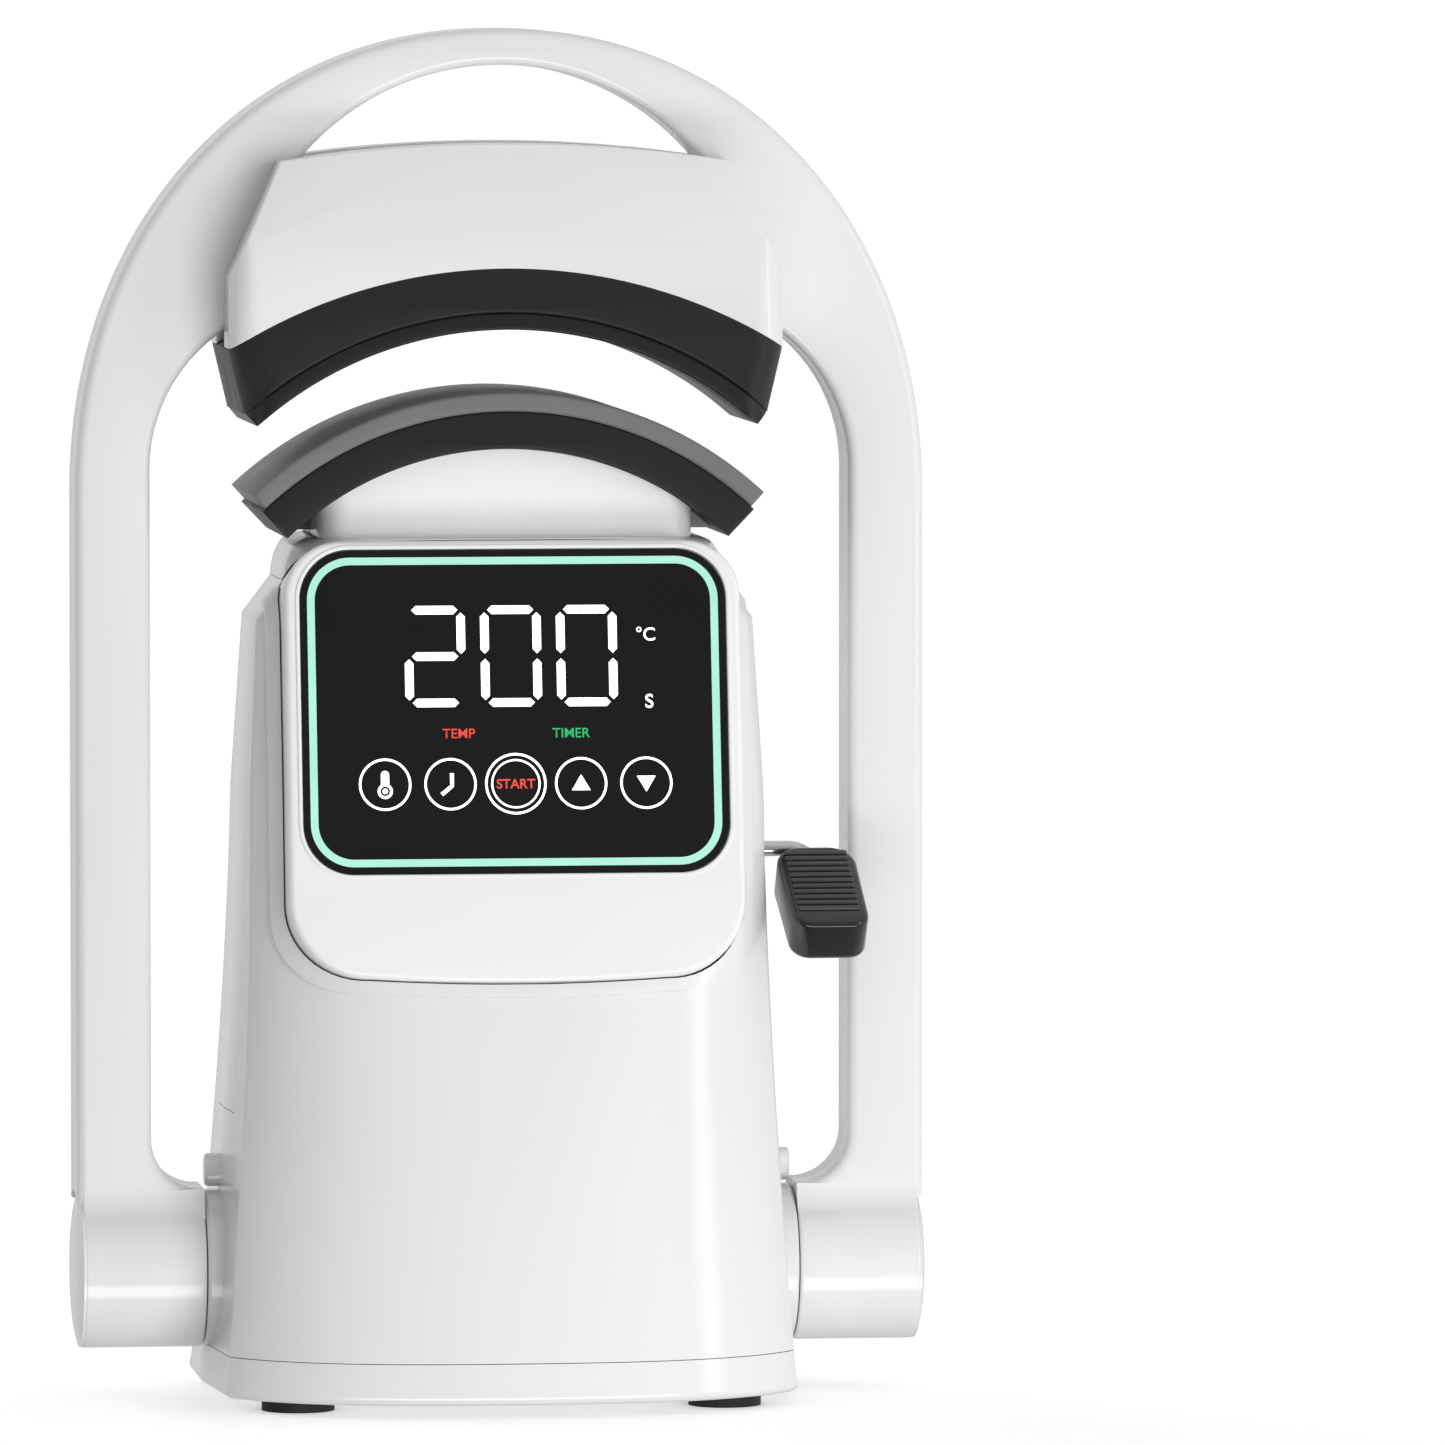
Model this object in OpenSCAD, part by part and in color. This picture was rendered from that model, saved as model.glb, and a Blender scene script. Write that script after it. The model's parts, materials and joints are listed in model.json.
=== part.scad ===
/* [Swing arch] */
// Half of the width across the outer faces of the two legs
arch_half = 140.8; // [130:0.1:155]
// Height of the top of the arch above the table
arch_top = 453; // [445:0.5:475]
// Height where the straight legs end and the curved top begins
arch_spring = 299; // [290:1:310]
// Roundness of the curved top, where 2 is an ellipse
arch_power = 2.1; // [2:0.05:2.6]
// Depth of the arch from front to back
arch_depth = 30; // [26:1:36]
// Width of one leg, seen from the front
leg_w = 24.8; // [22:0.1:27]
// Wall thickness of the moulded arch shells
arch_wall = 2.6; // [2:0.1:3.2]
// Radius of the upper inner corners between the legs
crown_inner_r = 55; // [40:1:60]
// Height where these corner rounds begin
crown_inner_z = 308; // [300:1:312]
// Height of the top of the finger opening
grip_top = 441; // [438:0.5:444]
// Radius of the upper edge of the finger opening
grip_r = 86.5; // [80:0.5:95]

/* [Pivots] */
// Height of the swing axis above the table
pivot_z = 42.7; // [41:0.1:46]
// Radius of the barrels at the bottom of the legs
barrel_r = 26.1; // [24:0.1:27]
// Distance of a barrel's inner end from the middle
barrel_in = 98.6; // [98.6:0.1:101]
// Radius of the fillet between a leg and its barrel
barrel_fillet = 16.5; // [12:0.5:17]
// Radius of the steel pivot shafts
pivot_shaft_r = 8; // [7:0.5:9]
// Wall thickness of the pivot bushes
pivot_bush_wall = 3; // [2:0.5:4]
// Bulge of the domed end caps
cap_bulge = 0.7; // [0.4:0.1:2]
// Length of a domed end cap along the axis
cap_len = 6.3; // [5:0.1:8]

/* [Head] */
// Half of the width of the head across its vertical sides
head_half = 91.6; // [90:0.1:94]
// Half of the depth of the head from front to back
head_depth_half = 41; // [38:0.5:44]
// Height of the middle of the head's top
head_top = 415.5; // [412:0.5:420]
// Radius of the slightly crowned top of the head
head_top_r = 490; // [400:10:700]
// Half of the width of the head's top between its corners
head_top_half = 74.5; // [72:0.5:78]
// Height where the sloping shoulders meet the vertical sides
head_shoulder_z = 372; // [368:1:376]
// Height of the crease across the head's front
head_crease_z = 386.5; // [380:0.5:392]
// Lean of the face above the crease, in degrees
head_lean = 15; // [10:1:20]
// Radius of the head's upright edges
head_edge_r = 9; // [6:0.5:12]
// Wall thickness of the head covers
head_wall = 2.4; // [2:0.1:3]

/* [Heated platen] */
// Height of the middle of the black housing's top
housing_top = 374.6; // [372:0.1:378]
// Radius of the black housing's top
housing_top_r = 171.7; // [165:0.1:185]
// Half of the width of the housing at its lower edge
housing_low_half = 86.8; // [85:0.1:89]
// Height of the housing's lower corners
housing_low_z = 327.6; // [326:0.1:330]
// Height where the housing's ends start to slope inwards
housing_bend_z = 348.1; // [346:0.1:350]
// Thickness of the curved heating plate
hot_plate_t = 5.5; // [5:0.1:7]
// Half of the angle that the heating plate spans
hot_plate_angle = 41.6; // [39:0.1:43]
// Thickness of the insulation behind the heating plate
insulation_t = 5; // [4:0.5:6]
// Thickness of the heating film
heater_film_t = 0.8; // [0.6:0.1:1]

/* [Lower platen] */
// Height of the centre of the lower platen's curve
platen_centre_z = 210; // [208:0.5:212]
// Outer radius of the silicone pad
pad_r = 124; // [122:0.5:126]
// Thickness of the silicone pad
pad_t = 6.3; // [5:0.1:8]
// Thickness of the black platen base under the pad
platen_base_t = 12.2; // [10:0.1:13]
// Half of the angle that the pad spans
pad_angle = 43; // [40:0.5:45]
// Half of the angle that the platen base spans
platen_angle = 43.7; // [41:0.1:46]
// Half of the depth of the pad from front to back
pad_depth_half = 41; // [38:0.5:44]
// Open gap between the pad and the heating plate
press_gap = 20; // [18:0.5:24]
// Lift of the lower platen when it presses
lift_travel = 19; // [10:0.5:19.4]
// Distance of a locating peg from the middle
peg_x = 40; // [34:1:46]
// Radius of the locating pegs
peg_r = 5; // [4:0.5:6]

/* [Body] */
// Height of the flat top of the body
body_top = 286; // [284:0.5:288]
// Half of the body's width at its waist
waist_half = 86; // [85:0.5:89]
// Height of the waist
waist_z = 200; // [190:1:215]
// Half of the body's width at the bottom
base_half = 99.5; // [98.5:0.1:99.8]
// Narrowing of each side from the waist up to the chamfer
top_taper = 3.6; // [2:0.1:5]
// Height where the chamfer of the side panels begins
chamfer_z = 259; // [256:0.5:262]
// Width of this chamfer
chamfer_w = 9.4; // [8:0.1:10]
// Height of the chamfer's upper edge
shoulder_z = 271.5; // [270:0.5:274]
// Half of the body's width at its flat top
top_half = 64.5; // [64:0.5:68]
// How far the flat sides cut into the rounded plan
side_flat = 3.2; // [2:0.1:4]
// Depth of the front at the top, from the swing axis forward
top_front = 46; // [45:0.5:50]
// Depth of the front at the bottom
base_front = 83; // [81:1:90]
// Depth of the back at the bottom
base_rear = 83; // [81:1:86]
// Squareness of the body's plan at the bottom, where 2 is an ellipse
plan_power = 2.5; // [2.4:0.1:3]
// Squareness of the body's plan at the top
top_power = 3.2; // [2.6:0.1:4]
// Wall thickness of the body's shells
body_wall = 2.6; // [2.2:0.1:3]
// Height of the seam between the base tray and the body
plinth_z = 18; // [16:0.5:20]
// Height of the base tray's underside
tray_z = 4; // [3.5:0.1:5]
// Half of the side panels' width, from front to back
side_panel_half = 30; // [28:0.5:32]
// Height of the side panels' lower edge
side_panel_z = 96; // [90:1:110]
// Half of the rear cover's width
rear_cover_half = 62; // [58:1:64]
// Height of the rear cover's lower edge
rear_cover_z = 30; // [26:1:34]
// Height of the rear cover
rear_cover_h = 226; // [220:1:228]
// Radius of the feet
foot_r = 12; // [10:0.5:14]
// Distance of the feet from the middle, across
foot_x = 70.6; // [64:0.1:74]
// Distance of the feet from the middle, front and back
foot_y = 46.5; // [40:0.5:50]

/* [Front panel] */
// Backward tilt of the front panel, in degrees
panel_tilt = 10; // [8:0.5:12]
// Height of the front panel's lower edge
panel_z = 142; // [138:1:146]
// How far the panel's lower edge lies in front of the swing axis
panel_y = 74; // [72:0.5:76]
// Half of the front panel's width
panel_half = 75.2; // [74:0.1:75.6]
// Depth of the front panel's side walls
panel_depth = 26; // [20:1:28]
// Width of the display glass
glass_w = 140; // [130:0.5:142]
// Height of the display glass
glass_h = 106.6; // [100:0.1:107]
// Distance of the glass from the panel's lower edge
glass_up = 36.3; // [35:0.1:37]
// Corner radius of the glass
glass_r = 16.5; // [12:0.5:20]
// Thickness of the glass
glass_t = 2; // [1.5:0.1:2.5]
// Distance of the light ring from the glass edge
ring_inset = 2.3; // [1.5:0.1:3]
// Width of the light ring
ring_w = 2.5; // [2:0.1:3]

/* [Lift drive] */
// Half of the neck's width
neck_half = 62; // [60:0.5:64]
// Half of the neck's depth
neck_depth_half = 34; // [30:0.5:34]
// Radius of the two lift posts
post_r = 7; // [6:0.5:8]
// Distance of a lift post from the middle
post_x = 44; // [40:1:48]
// Radius of the lead screw
screw_r = 6; // [5:0.5:7]
// Radius of the gear motor
motor_r = 18.5; // [16:0.5:19]
// Length of the gear motor
motor_len = 58; // [50:1:62]
// Thickness of the frame's plates
plate_t = 3; // [2.5:0.5:4]
// Height of the lower guide plate
lower_guide_z = 112; // [108:1:114]
// Height of the upper guide plate
upper_guide_z = 240; // [238:1:242]
// Distance of the frame's side plates from the middle
frame_x = 66; // [64:0.5:68]

/* [Cap tension lever] */
// Height of the lever's shaft
lever_z = 181; // [179:0.5:183]
// Distance of the lever's shaft in front of the swing axis
lever_front = 22; // [21:0.5:24]
// Radius of the lever's rod
lever_r = 3; // [2.5:0.25:3.5]
// Distance of the grip's middle from the body's side
grip_out = 17.5; // [16:0.5:19]
// Width of the grip at its root
grip_w = 23; // [20:0.5:24]
// Width of the grip at its end
grip_end_w = 26; // [22:0.5:27]
// Thickness of the grip
grip_t = 13; // [11:0.5:14]
// Length of the grip
grip_len = 36; // [30:1:40]
// Slope of the grip below the horizontal, in degrees
grip_slope = 38; // [34:1:44]
// Number of ribs on the grip
grip_ribs = 11; // [8:1:13]
// Pitch radius of the pinion on the lever's shaft
pinion_r = 12; // [11.5:0.1:12.2]
// Number of teeth on the pinion
pinion_teeth = 16; // [14:1:18]
// Half of the width of the tension hook
hook_half = 29; // [29:0.5:30]

/* [Hidden] */

arc_fn = 96;
far = 600;
seam = 0.4;
running_gap = 0.06;
seat_gap = 0.02;
glass_recess = 0.5;
ring_depth = 0.8;
arch_steps = 56;
crown_seam_z = arch_spring + 3;
plan_steps = 56;
rise = arch_top - arch_spring;
leg_in = arch_half - leg_w;
depth_half = arch_depth / 2;
window_low = pivot_z + barrel_r + 1.4;
cap_in = arch_half + cap_bulge - cap_len;
housing_centre_z = housing_top - housing_top_r;
hot_centre_z = platen_centre_z + press_gap;
hot_r = pad_r + 0.5;
hot_outer_r = hot_r + hot_plate_t;
insulation_in_r = hot_outer_r + heater_film_t + 0.1;
platen_seat_r = pad_r - pad_t;
platen_in_r = platen_seat_r - platen_base_t;
pivot_bush_r = pivot_shaft_r + running_gap + pivot_bush_wall;
neck_low = body_top - lift_travel - 5;
mount_plate_z = 290;
mount_plate_t = 3.5;
peg_top = mount_plate_z + mount_plate_t + 12;
frame_half = 4;
head_foot_half = 29;
motor_top = lower_guide_z - 20;
yoke_z = lower_guide_z + plate_t + 4;
yoke_t = 14;
yoke_depth_half = 13;
nut_r = 10;
bearing_r = 11;
journal_r = 4;
screw_low = lower_guide_z + plate_t + 0.5;
screw_high = upper_guide_z - 0.5;
lever_y = -lever_front;
grip_x = waist_half + grip_out;
lever_bush_r = lever_r + 3;
pinion_w = 9;
pinion_x = 19.5;
rack_y = lever_y + pinion_r;
rack_t = 4;
rack_low = lever_z - 9;
rack_high = lever_z + 17;
tooth_h = 1.6;
hook_t = 3;
hook_y = neck_depth_half + 1.6;
hook_lip_z = body_top + 12;
screw_places = [[128, 120], [128, 220], [112, 362]];
screw_head_r = 3.2;
screw_head_h = 1.5;
panel_len = (body_top - panel_z) / cos(panel_tilt);
tray_floor_z = tray_z + 3;
ear_half = waist_half - top_taper;
shoulder_half = ear_half - chamfer_w;
frame_base_z = plinth_z + 4;
inlet_z = 54;
rear_face = rear_d(inlet_z) - 10.2;
rocker_z = 53.5;
rocker_tilt = 7;

// A flat shape drawn in x and z, filled from one depth to another
module slab(front, back) {
    translate([0, back, 0])
        rotate([90, 0, 0])
            linear_extrude(height = back - front)
                children();
}

// A round bar along the x axis
module bar_x(radius, from_x, to_x, fn = arc_fn) {
    translate([from_x, 0, 0])
        rotate([0, 90, 0])
            cylinder(r = radius, h = to_x - from_x, $fn = fn);
}

// An upright round bar between two heights
module column(radius, low, high, fn = arc_fn) {
    translate([0, 0, low])
        cylinder(r = radius, h = high - low, $fn = fn);
}

// The same thing on the right and on the left
module both_sides() {
    children();
    mirror([1, 0, 0])
        children();
}

// A shape drawn on the tilted front panel, up from its lower edge
module on_panel(lift = 0) {
    translate([0, -panel_y, panel_z])
        rotate([90 - panel_tilt, 0, 0])
            translate([0, 0, lift])
                children();
}

module rounded_rect(w, h, r) {
    translate([-w / 2 + r, 0])
        square([w - 2 * r, h]);
    translate([-w / 2, r])
        square([w, h - 2 * r]);
    for (x = [-w / 2 + r, w / 2 - r])
        for (y = [r, h - r])
            translate([x, y])
                circle(r = r, $fn = 48);
}

// A curved plate cut from a ring, symmetric about the upright through the centre
module ring_sector(centre_z, r_in, r_out, half_angle) {
    reach = r_out * 2;
    intersection() {
        translate([0, centre_z])
            difference() {
                circle(r = r_out, $fn = 180);
                circle(r = r_in, $fn = 180);
            }
        translate([0, centre_z])
            polygon([[0, 0], [-reach * sin(half_angle), reach * cos(half_angle)],
                     [0, reach * 2], [reach * sin(half_angle), reach * cos(half_angle)]]);
    }
}

// Outline of the arch and the head

function signed_power(v, p) = sign(v) * pow(abs(v), p);

function arch_curve(inset) = [
    for (i = [0:arch_steps])
        let (t = 180 * i / arch_steps)
        [(arch_half - inset) * signed_power(cos(t), 2 / arch_power),
         arch_spring + (rise - inset) * signed_power(sin(t), 2 / arch_power)]
];

module arch_outline(inset) {
    polygon(concat(arch_curve(inset),
                   [[inset - arch_half, pivot_z], [arch_half - inset, pivot_z]]));
}

module leg_window(inset) {
    half = leg_in + inset;
    top_r = crown_inner_r + inset;
    low_r = barrel_fillet + inset;
    low_z = window_low - inset;
    low_corner_z = low_z + low_r;
    translate([-half, low_corner_z])
        square([2 * half, crown_inner_z - low_corner_z]);
    translate([-half + low_r, low_z])
        square([2 * (half - low_r), low_r + 1]);
    translate([-half + top_r, crown_inner_z - 1])
        square([2 * (half - top_r), top_r + 1]);
    both_sides() {
        translate([half - top_r, crown_inner_z])
            circle(r = top_r, $fn = arc_fn);
        translate([half - low_r, low_corner_z])
            circle(r = low_r, $fn = 64);
    }
    translate([-barrel_in - inset, pivot_z - barrel_r - 1])
        square([2 * (barrel_in + inset), barrel_r + 60]);
}

// Top, shoulders and underside of the head, without its upright sides
module head_profile(inset) {
    top_z = head_top - head_top_r;
    corner_z = top_z + sqrt(pow(head_top_r, 2) - pow(head_top_half, 2));
    slope = (corner_z - head_shoulder_z) / (head_half - head_top_half);
    over = 10;
    side_x = head_half + over;
    shoulder_z = head_shoulder_z - slope * over - inset * sqrt(1 + slope * slope);
    peak_z = corner_z + 40;
    peak_x = head_half - (peak_z - head_shoulder_z + inset * sqrt(1 + slope * slope)) / slope;
    difference() {
        intersection() {
            translate([0, top_z])
                circle(r = head_top_r - inset, $fn = 400);
            polygon([[-side_x, housing_low_z], [-side_x, shoulder_z], [-peak_x, peak_z],
                     [peak_x, peak_z], [side_x, shoulder_z], [side_x, housing_low_z]]);
        }
        translate([0, housing_centre_z])
            circle(r = housing_top_r + inset, $fn = 240);
    }
}

module head_outline(inset) {
    intersection() {
        head_profile(inset);
        translate([-head_half + inset, 0])
            square([2 * (head_half - inset), arch_top]);
    }
}

// Room for the black housing, cut up into the arch below the head
module housing_zone(inset) {
    intersection() {
        translate([0, housing_centre_z])
            circle(r = housing_top_r + inset, $fn = 240);
        translate([-head_half - inset, pivot_z])
            square([2 * (head_half + inset), head_top - pivot_z]);
    }
}

module arch_plate(inset) {
    difference() {
        arch_outline(inset);
        leg_window(inset);
        housing_zone(inset);
        translate([0, grip_top - grip_r])
            intersection() {
                circle(r = grip_r + inset, $fn = 180);
                translate([-grip_r * 1.5, head_top - 6 - inset - grip_top + grip_r])
                    square([grip_r * 3, 60]);
            }
    }
    head_outline(inset);
}

// One half of the arch housing, front or rear, with its share of the barrels
module arch_shell_half(dir) {
    near = dir < 0 ? -far : 0;
    difference() {
        intersection() {
            union() {
                slab(-depth_half, depth_half)
                    arch_plate(0);
                translate([0, 0, pivot_z])
                    both_sides()
                        bar_x(barrel_r, barrel_in, cap_in);
            }
            translate([-far / 2, near, 0])
                cube(far);
        }
        slab(-depth_half + arch_wall, depth_half - arch_wall)
            arch_plate(arch_wall);
        translate([0, 0, pivot_z])
            both_sides() {
                bar_x(barrel_r - arch_wall, barrel_in + arch_wall, cap_in + 1);
                bar_x(pivot_shaft_r + 0.6, barrel_in - 1, cap_in + 1);
                bar_x(barrel_r + 0.2, cap_in, cap_in + 20);
                translate([cap_in, -far / 2, -barrel_r - 1])
                    cube([20, far, barrel_r + 1]);
            }
        slab(-frame_half - 0.3, frame_half + 0.3)
            head_slot();
        at_arch_screws()
            cylinder(r = screw_head_r + 0.1, h = 10, $fn = 48);
    }
}

// The places of the screws in the rear of the arch
module at_arch_screws() {
    for (place = screw_places)
        both_sides()
            translate([place[0], depth_half - screw_head_h, place[1]])
                rotate([-90, 0, 0])
                    children();
}

// Slot in the head's underside where the frame meets the platen housing
module head_slot() {
    translate([-head_foot_half - 1, housing_top - 10])
        square([2 * (head_foot_half + 1), 14]);
}

module head_solid(inset) {
    edge = head_edge_r - inset;
    half = head_half - inset;
    depth = head_depth_half - inset;
    difference() {
        intersection() {
            slab(-depth - 10, depth + 10)
                head_profile(inset);
            translate([0, 0, housing_low_z - 1])
                linear_extrude(height = head_top)
                    translate([0, -depth])
                        rounded_rect(2 * half, 2 * depth, edge);
        }
        for (dir = [0, 1])
            mirror([0, dir, 0])
                translate([0, -depth, head_crease_z])
                    rotate([-head_lean, 0, 0])
                        translate([-far / 2, -20, 0])
                            cube([far, 20, 80]);
    }
}

module head_cover(dir) {
    near = dir < 0 ? -far - depth_half : depth_half;
    intersection() {
        difference() {
            head_solid(0);
            head_solid(head_wall);
        }
        translate([-far / 2, near, 0])
            cube(far);
    }
}

// Outline of the body

function waist_to_base(z) = pow((waist_z - z) / waist_z, 1.6);
function share(z, low, high) = (z - low) / (high - low);
function half_w(z) =
    z < waist_z ? waist_half + (base_half - waist_half) * waist_to_base(z)
    : z < chamfer_z ? waist_half - top_taper * share(z, waist_z, chamfer_z)
    : z < shoulder_z ? ear_half - chamfer_w * share(z, chamfer_z, shoulder_z)
    : top_half + (shoulder_half - top_half) * sqrt(1 - pow(share(z, shoulder_z, body_top), 2));
function depth_down(z) = (body_top - z) / (body_top - tray_z);
function front_d(z) = top_front + (base_front - top_front) * (1.84 - 0.84 * depth_down(z)) * depth_down(z);
function rear_d(z) = top_front + (base_rear - top_front) * (1.4 - 0.4 * depth_down(z)) * depth_down(z);

function plan_ring(z, inset) = [
    for (i = [0:plan_steps - 1])
        let (t = 360 * i / plan_steps,
             deep = sin(t) < 0 ? front_d(z) : rear_d(z),
             p = top_power + (plan_power - top_power) * depth_down(z),
             flat = half_w(z) - inset,
             x = (flat + side_flat) * signed_power(cos(t), 2 / p))
        [max(-flat, min(flat, x)),
         (deep - inset) * signed_power(sin(t), 2 / p),
         z]
];

// A closed solid through plan rings at the given heights
module plan_loft(heights, inset) {
    rings = len(heights);
    top_row = (rings - 1) * plan_steps;
    low_middle = rings * plan_steps;
    points = concat(
        [for (z = heights) each plan_ring(min(z, body_top), inset)],
        [[0, 0, heights[0]], [0, 0, min(heights[rings - 1], body_top)]]
    );
    sides = [
        for (k = [0:rings - 2])
            for (i = [0:plan_steps - 1])
                let (a = k * plan_steps + i, b = k * plan_steps + (i + 1) % plan_steps)
                each [[a, a + plan_steps, b + plan_steps], [a, b + plan_steps, b]]
    ];
    caps = [
        for (i = [0:plan_steps - 1])
            let (next = (i + 1) % plan_steps)
            each [[low_middle, i, next], [low_middle + 1, top_row + next, top_row + i]]
    ];
    polyhedron(points = points, faces = concat(sides, caps), convexity = 8);
}

function even_levels(low, high, count) = [for (i = [0:count]) low + (high - low) * i / count];
function rise_levels(low, high, count) = [for (i = [0:count]) low + (high - low) * sin(90 * i / count)];

// Heights of the plan rings, with one at each corner of the side outline
function body_levels(low, high, drop) = concat(
    even_levels(low, waist_z, 7),
    even_levels(waist_z + 15, chamfer_z - drop, 3),
    rise_levels(shoulder_z - drop, high, 5)
);

module body_skin() {
    difference() {
        plan_loft(body_levels(plinth_z, body_top, 0), 0);
        plan_loft(body_levels(plinth_z - 1, body_top - body_wall, body_wall), body_wall);
    }
}

module side_zone(grow) {
    both_sides()
        translate([shoulder_half - 2 - grow, -side_panel_half - grow, side_panel_z - grow])
            cube([far, 2 * (side_panel_half + grow), shoulder_z - side_panel_z + 2 * grow]);
}

module rear_zone(grow) {
    slab(12 - grow, far / 2)
        translate([0, rear_cover_z - grow])
            rounded_rect(2 * (rear_cover_half + grow), rear_cover_h + 2 * grow, 12);
}

module panel_outline(grow) {
    half = panel_half + grow;
    intersection() {
        union() {
            translate([0, -grow])
                rounded_rect(2 * half, panel_len + 2 * grow, 20);
            translate([0, panel_len / 2])
                rounded_rect(2 * half, panel_len / 2 + grow, glass_r + 2);
        }
        translate([0, 600 - grow])
            circle(r = 600, $fn = 360);
    }
}

module neck_opening(grow) {
    half = neck_half + grow;
    translate([0, -neck_depth_half - grow, neck_low - 40])
        linear_extrude(height = 120)
            rounded_rect(2 * half, 2 * (neck_depth_half + grow), 10 + grow);
}

module hook_slot(grow) {
    translate([-hook_half - grow, hook_y - grow, upper_guide_z - 30])
        cube([2 * (hook_half + grow), hook_t + 2 * grow, 120]);
}

// Root body: housing

module base_tray() {
    color("whitesmoke")
        difference() {
            plan_loft([tray_z, tray_z + 1.5, plinth_z - seam], 0);
            plan_loft([tray_floor_z, plinth_z + 1], body_wall);
            for (x = [-foot_x, foot_x])
                for (y = [-foot_y, foot_y])
                    translate([x, y, 0])
                        cylinder(r = 1.7, h = 20, $fn = 32);
        }
}

module main_shell() {
    color("white")
        difference() {
            union() {
                body_skin();
                intersection() {
                    translate([0, 0, pivot_z])
                        both_sides()
                            bar_x(barrel_r, waist_half, barrel_in - seam);
                    translate([-far / 2, -far / 2, plinth_z])
                        cube(far);
                }
                both_sides()
                    stop_lug();
            }
            side_zone(seam);
            rear_zone(seam);
            on_panel(-panel_depth - 6)
                linear_extrude(height = panel_depth + 30)
                    panel_outline(seam);
            neck_opening(1);
            hook_slot(0.6);
            translate([0, 0, pivot_z])
                both_sides()
                    bar_x(pivot_shaft_r + 0.6, 60, 120);
        }
}

// Rounded stop beside the swing arch's barrel
module stop_lug() {
    lug_r = 4;
    lug_low = pivot_z + barrel_r + lug_r + 1;
    for (z = [lug_low, lug_low + 3])
        translate([0, 0, z])
            bar_x(lug_r, waist_half, barrel_in - 1, 48);
    translate([waist_half, -lug_r, lug_low])
        cube([barrel_in - 1 - waist_half, 2 * lug_r, 3]);
}

module side_panels() {
    difference() {
        intersection() {
            body_skin();
            side_zone(0);
        }
        on_panel(-panel_depth - 6)
            linear_extrude(height = panel_depth + 30)
                panel_outline(seam);
        translate([0, lever_y, lever_z])
            bar_x(lever_bush_r + 0.1, 0, 120);
    }
}

module side_panel_left() {
    color("gainsboro")
        intersection() {
            side_panels();
            translate([-far, -far / 2, 0])
                cube(far);
        }
}

module side_panel_right() {
    color("gainsboro")
        intersection() {
            side_panels();
            translate([0, -far / 2, 0])
                cube(far);
        }
}

module rear_cover() {
    color("whitesmoke")
        difference() {
            intersection() {
                body_skin();
                rear_zone(0);
            }
            slab(20, far / 2) {
                translate([-46, 44])
                    square([28, 20]);
                translate([18, 46])
                    square([21, 15]);
            }
            slab(20, far / 2)
                for (row = [0:5])
                    for (x = [-44:11:44])
                        translate([x - 3, 190 + row * 8])
                            square([6, 3]);
        }
}

module fascia() {
    color("white")
        difference() {
            on_panel(-panel_depth)
                linear_extrude(height = panel_depth)
                    panel_outline(0);
            on_panel(-panel_depth - 1)
                linear_extrude(height = panel_depth + 1 - 5)
                    panel_outline(-body_wall);
            on_panel(-glass_recess - glass_t)
                linear_extrude(height = 20)
                    translate([0, glass_up - 0.2])
                        rounded_rect(glass_w + 0.4, glass_h + 0.4, glass_r);
            on_panel(-12)
                linear_extrude(height = 20)
                    translate([0, glass_up + 3])
                        rounded_rect(glass_w - 6, glass_h - 6, glass_r - 3);
            translate([-far / 2, -neck_depth_half - 2, neck_low - 14])
                cube([far, far, far]);
        }
}

module glass_ring(over) {
    on_panel(-glass_recess - ring_depth)
        linear_extrude(height = ring_depth + over)
            translate([0, glass_up])
                difference() {
                    translate([0, ring_inset])
                        rounded_rect(glass_w - 2 * ring_inset, glass_h - 2 * ring_inset,
                                     glass_r - ring_inset);
                    translate([0, ring_inset + ring_w])
                        rounded_rect(glass_w - 2 * (ring_inset + ring_w),
                                     glass_h - 2 * (ring_inset + ring_w),
                                     glass_r - ring_inset - ring_w);
                }
}

module display_glass() {
    color("black")
        difference() {
            on_panel(-glass_recess - glass_t)
                linear_extrude(height = glass_t)
                    translate([0, glass_up])
                        rounded_rect(glass_w, glass_h, glass_r);
            glass_ring(1);
        }
}

module light_ring() {
    color("aquamarine")
        glass_ring(0);
}

module display_module() {
    color("dimgray")
        on_panel(-glass_t - 6.5)
            translate([-42, glass_up + 52, 0])
                cube([84, 40, 6]);
}

module control_board() {
    color("darkgreen")
        difference() {
            on_panel(-glass_t - 8.1)
                translate([-62, glass_up + 6, 0])
                    cube([124, 92, 1.6]);
            on_panel(-glass_t - 9)
                for (x = [-57, 57])
                    for (y = [glass_up + 11, glass_up + 93])
                        translate([x, y, 0])
                            cylinder(r = 1.6, h = 4, $fn = 24);
        }
}

module power_board() {
    color("darkgreen")
        translate([-50, 22, frame_base_z + plate_t])
            cube([60, 30, 5]);
    color("dimgray")
        translate([-44, 26, frame_base_z + plate_t + 5])
            cube([26, 22, 20]);
    color("dimgray")
        translate([-8, 36, frame_base_z + plate_t + 5])
            cylinder(r = 7, h = 22, $fn = 48);
}

module power_inlet() {
    color("black")
        difference() {
            translate([-45.7, rear_face - 14, inlet_z - 9.7])
                cube([27.4, 26, 19.4]);
            translate([-43, rear_face - 6, inlet_z - 7])
                cube([22, 30, 14]);
        }
    color("silver")
        for (x = [-39, -32, -25])
            translate([x - 1, rear_face - 7, x == -32 ? inlet_z + 1 : inlet_z - 4])
                cube([2, 14, 4]);
}

module switch_bezel() {
    color("black")
        difference() {
            translate([18.3, rear_face - 12, rocker_z - 7.2])
                cube([20.4, 24, 14.4]);
            translate([20.3, rear_face - 8, rocker_z - 5.2])
                cube([16.4, 30, 10.4]);
        }
}

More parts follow.
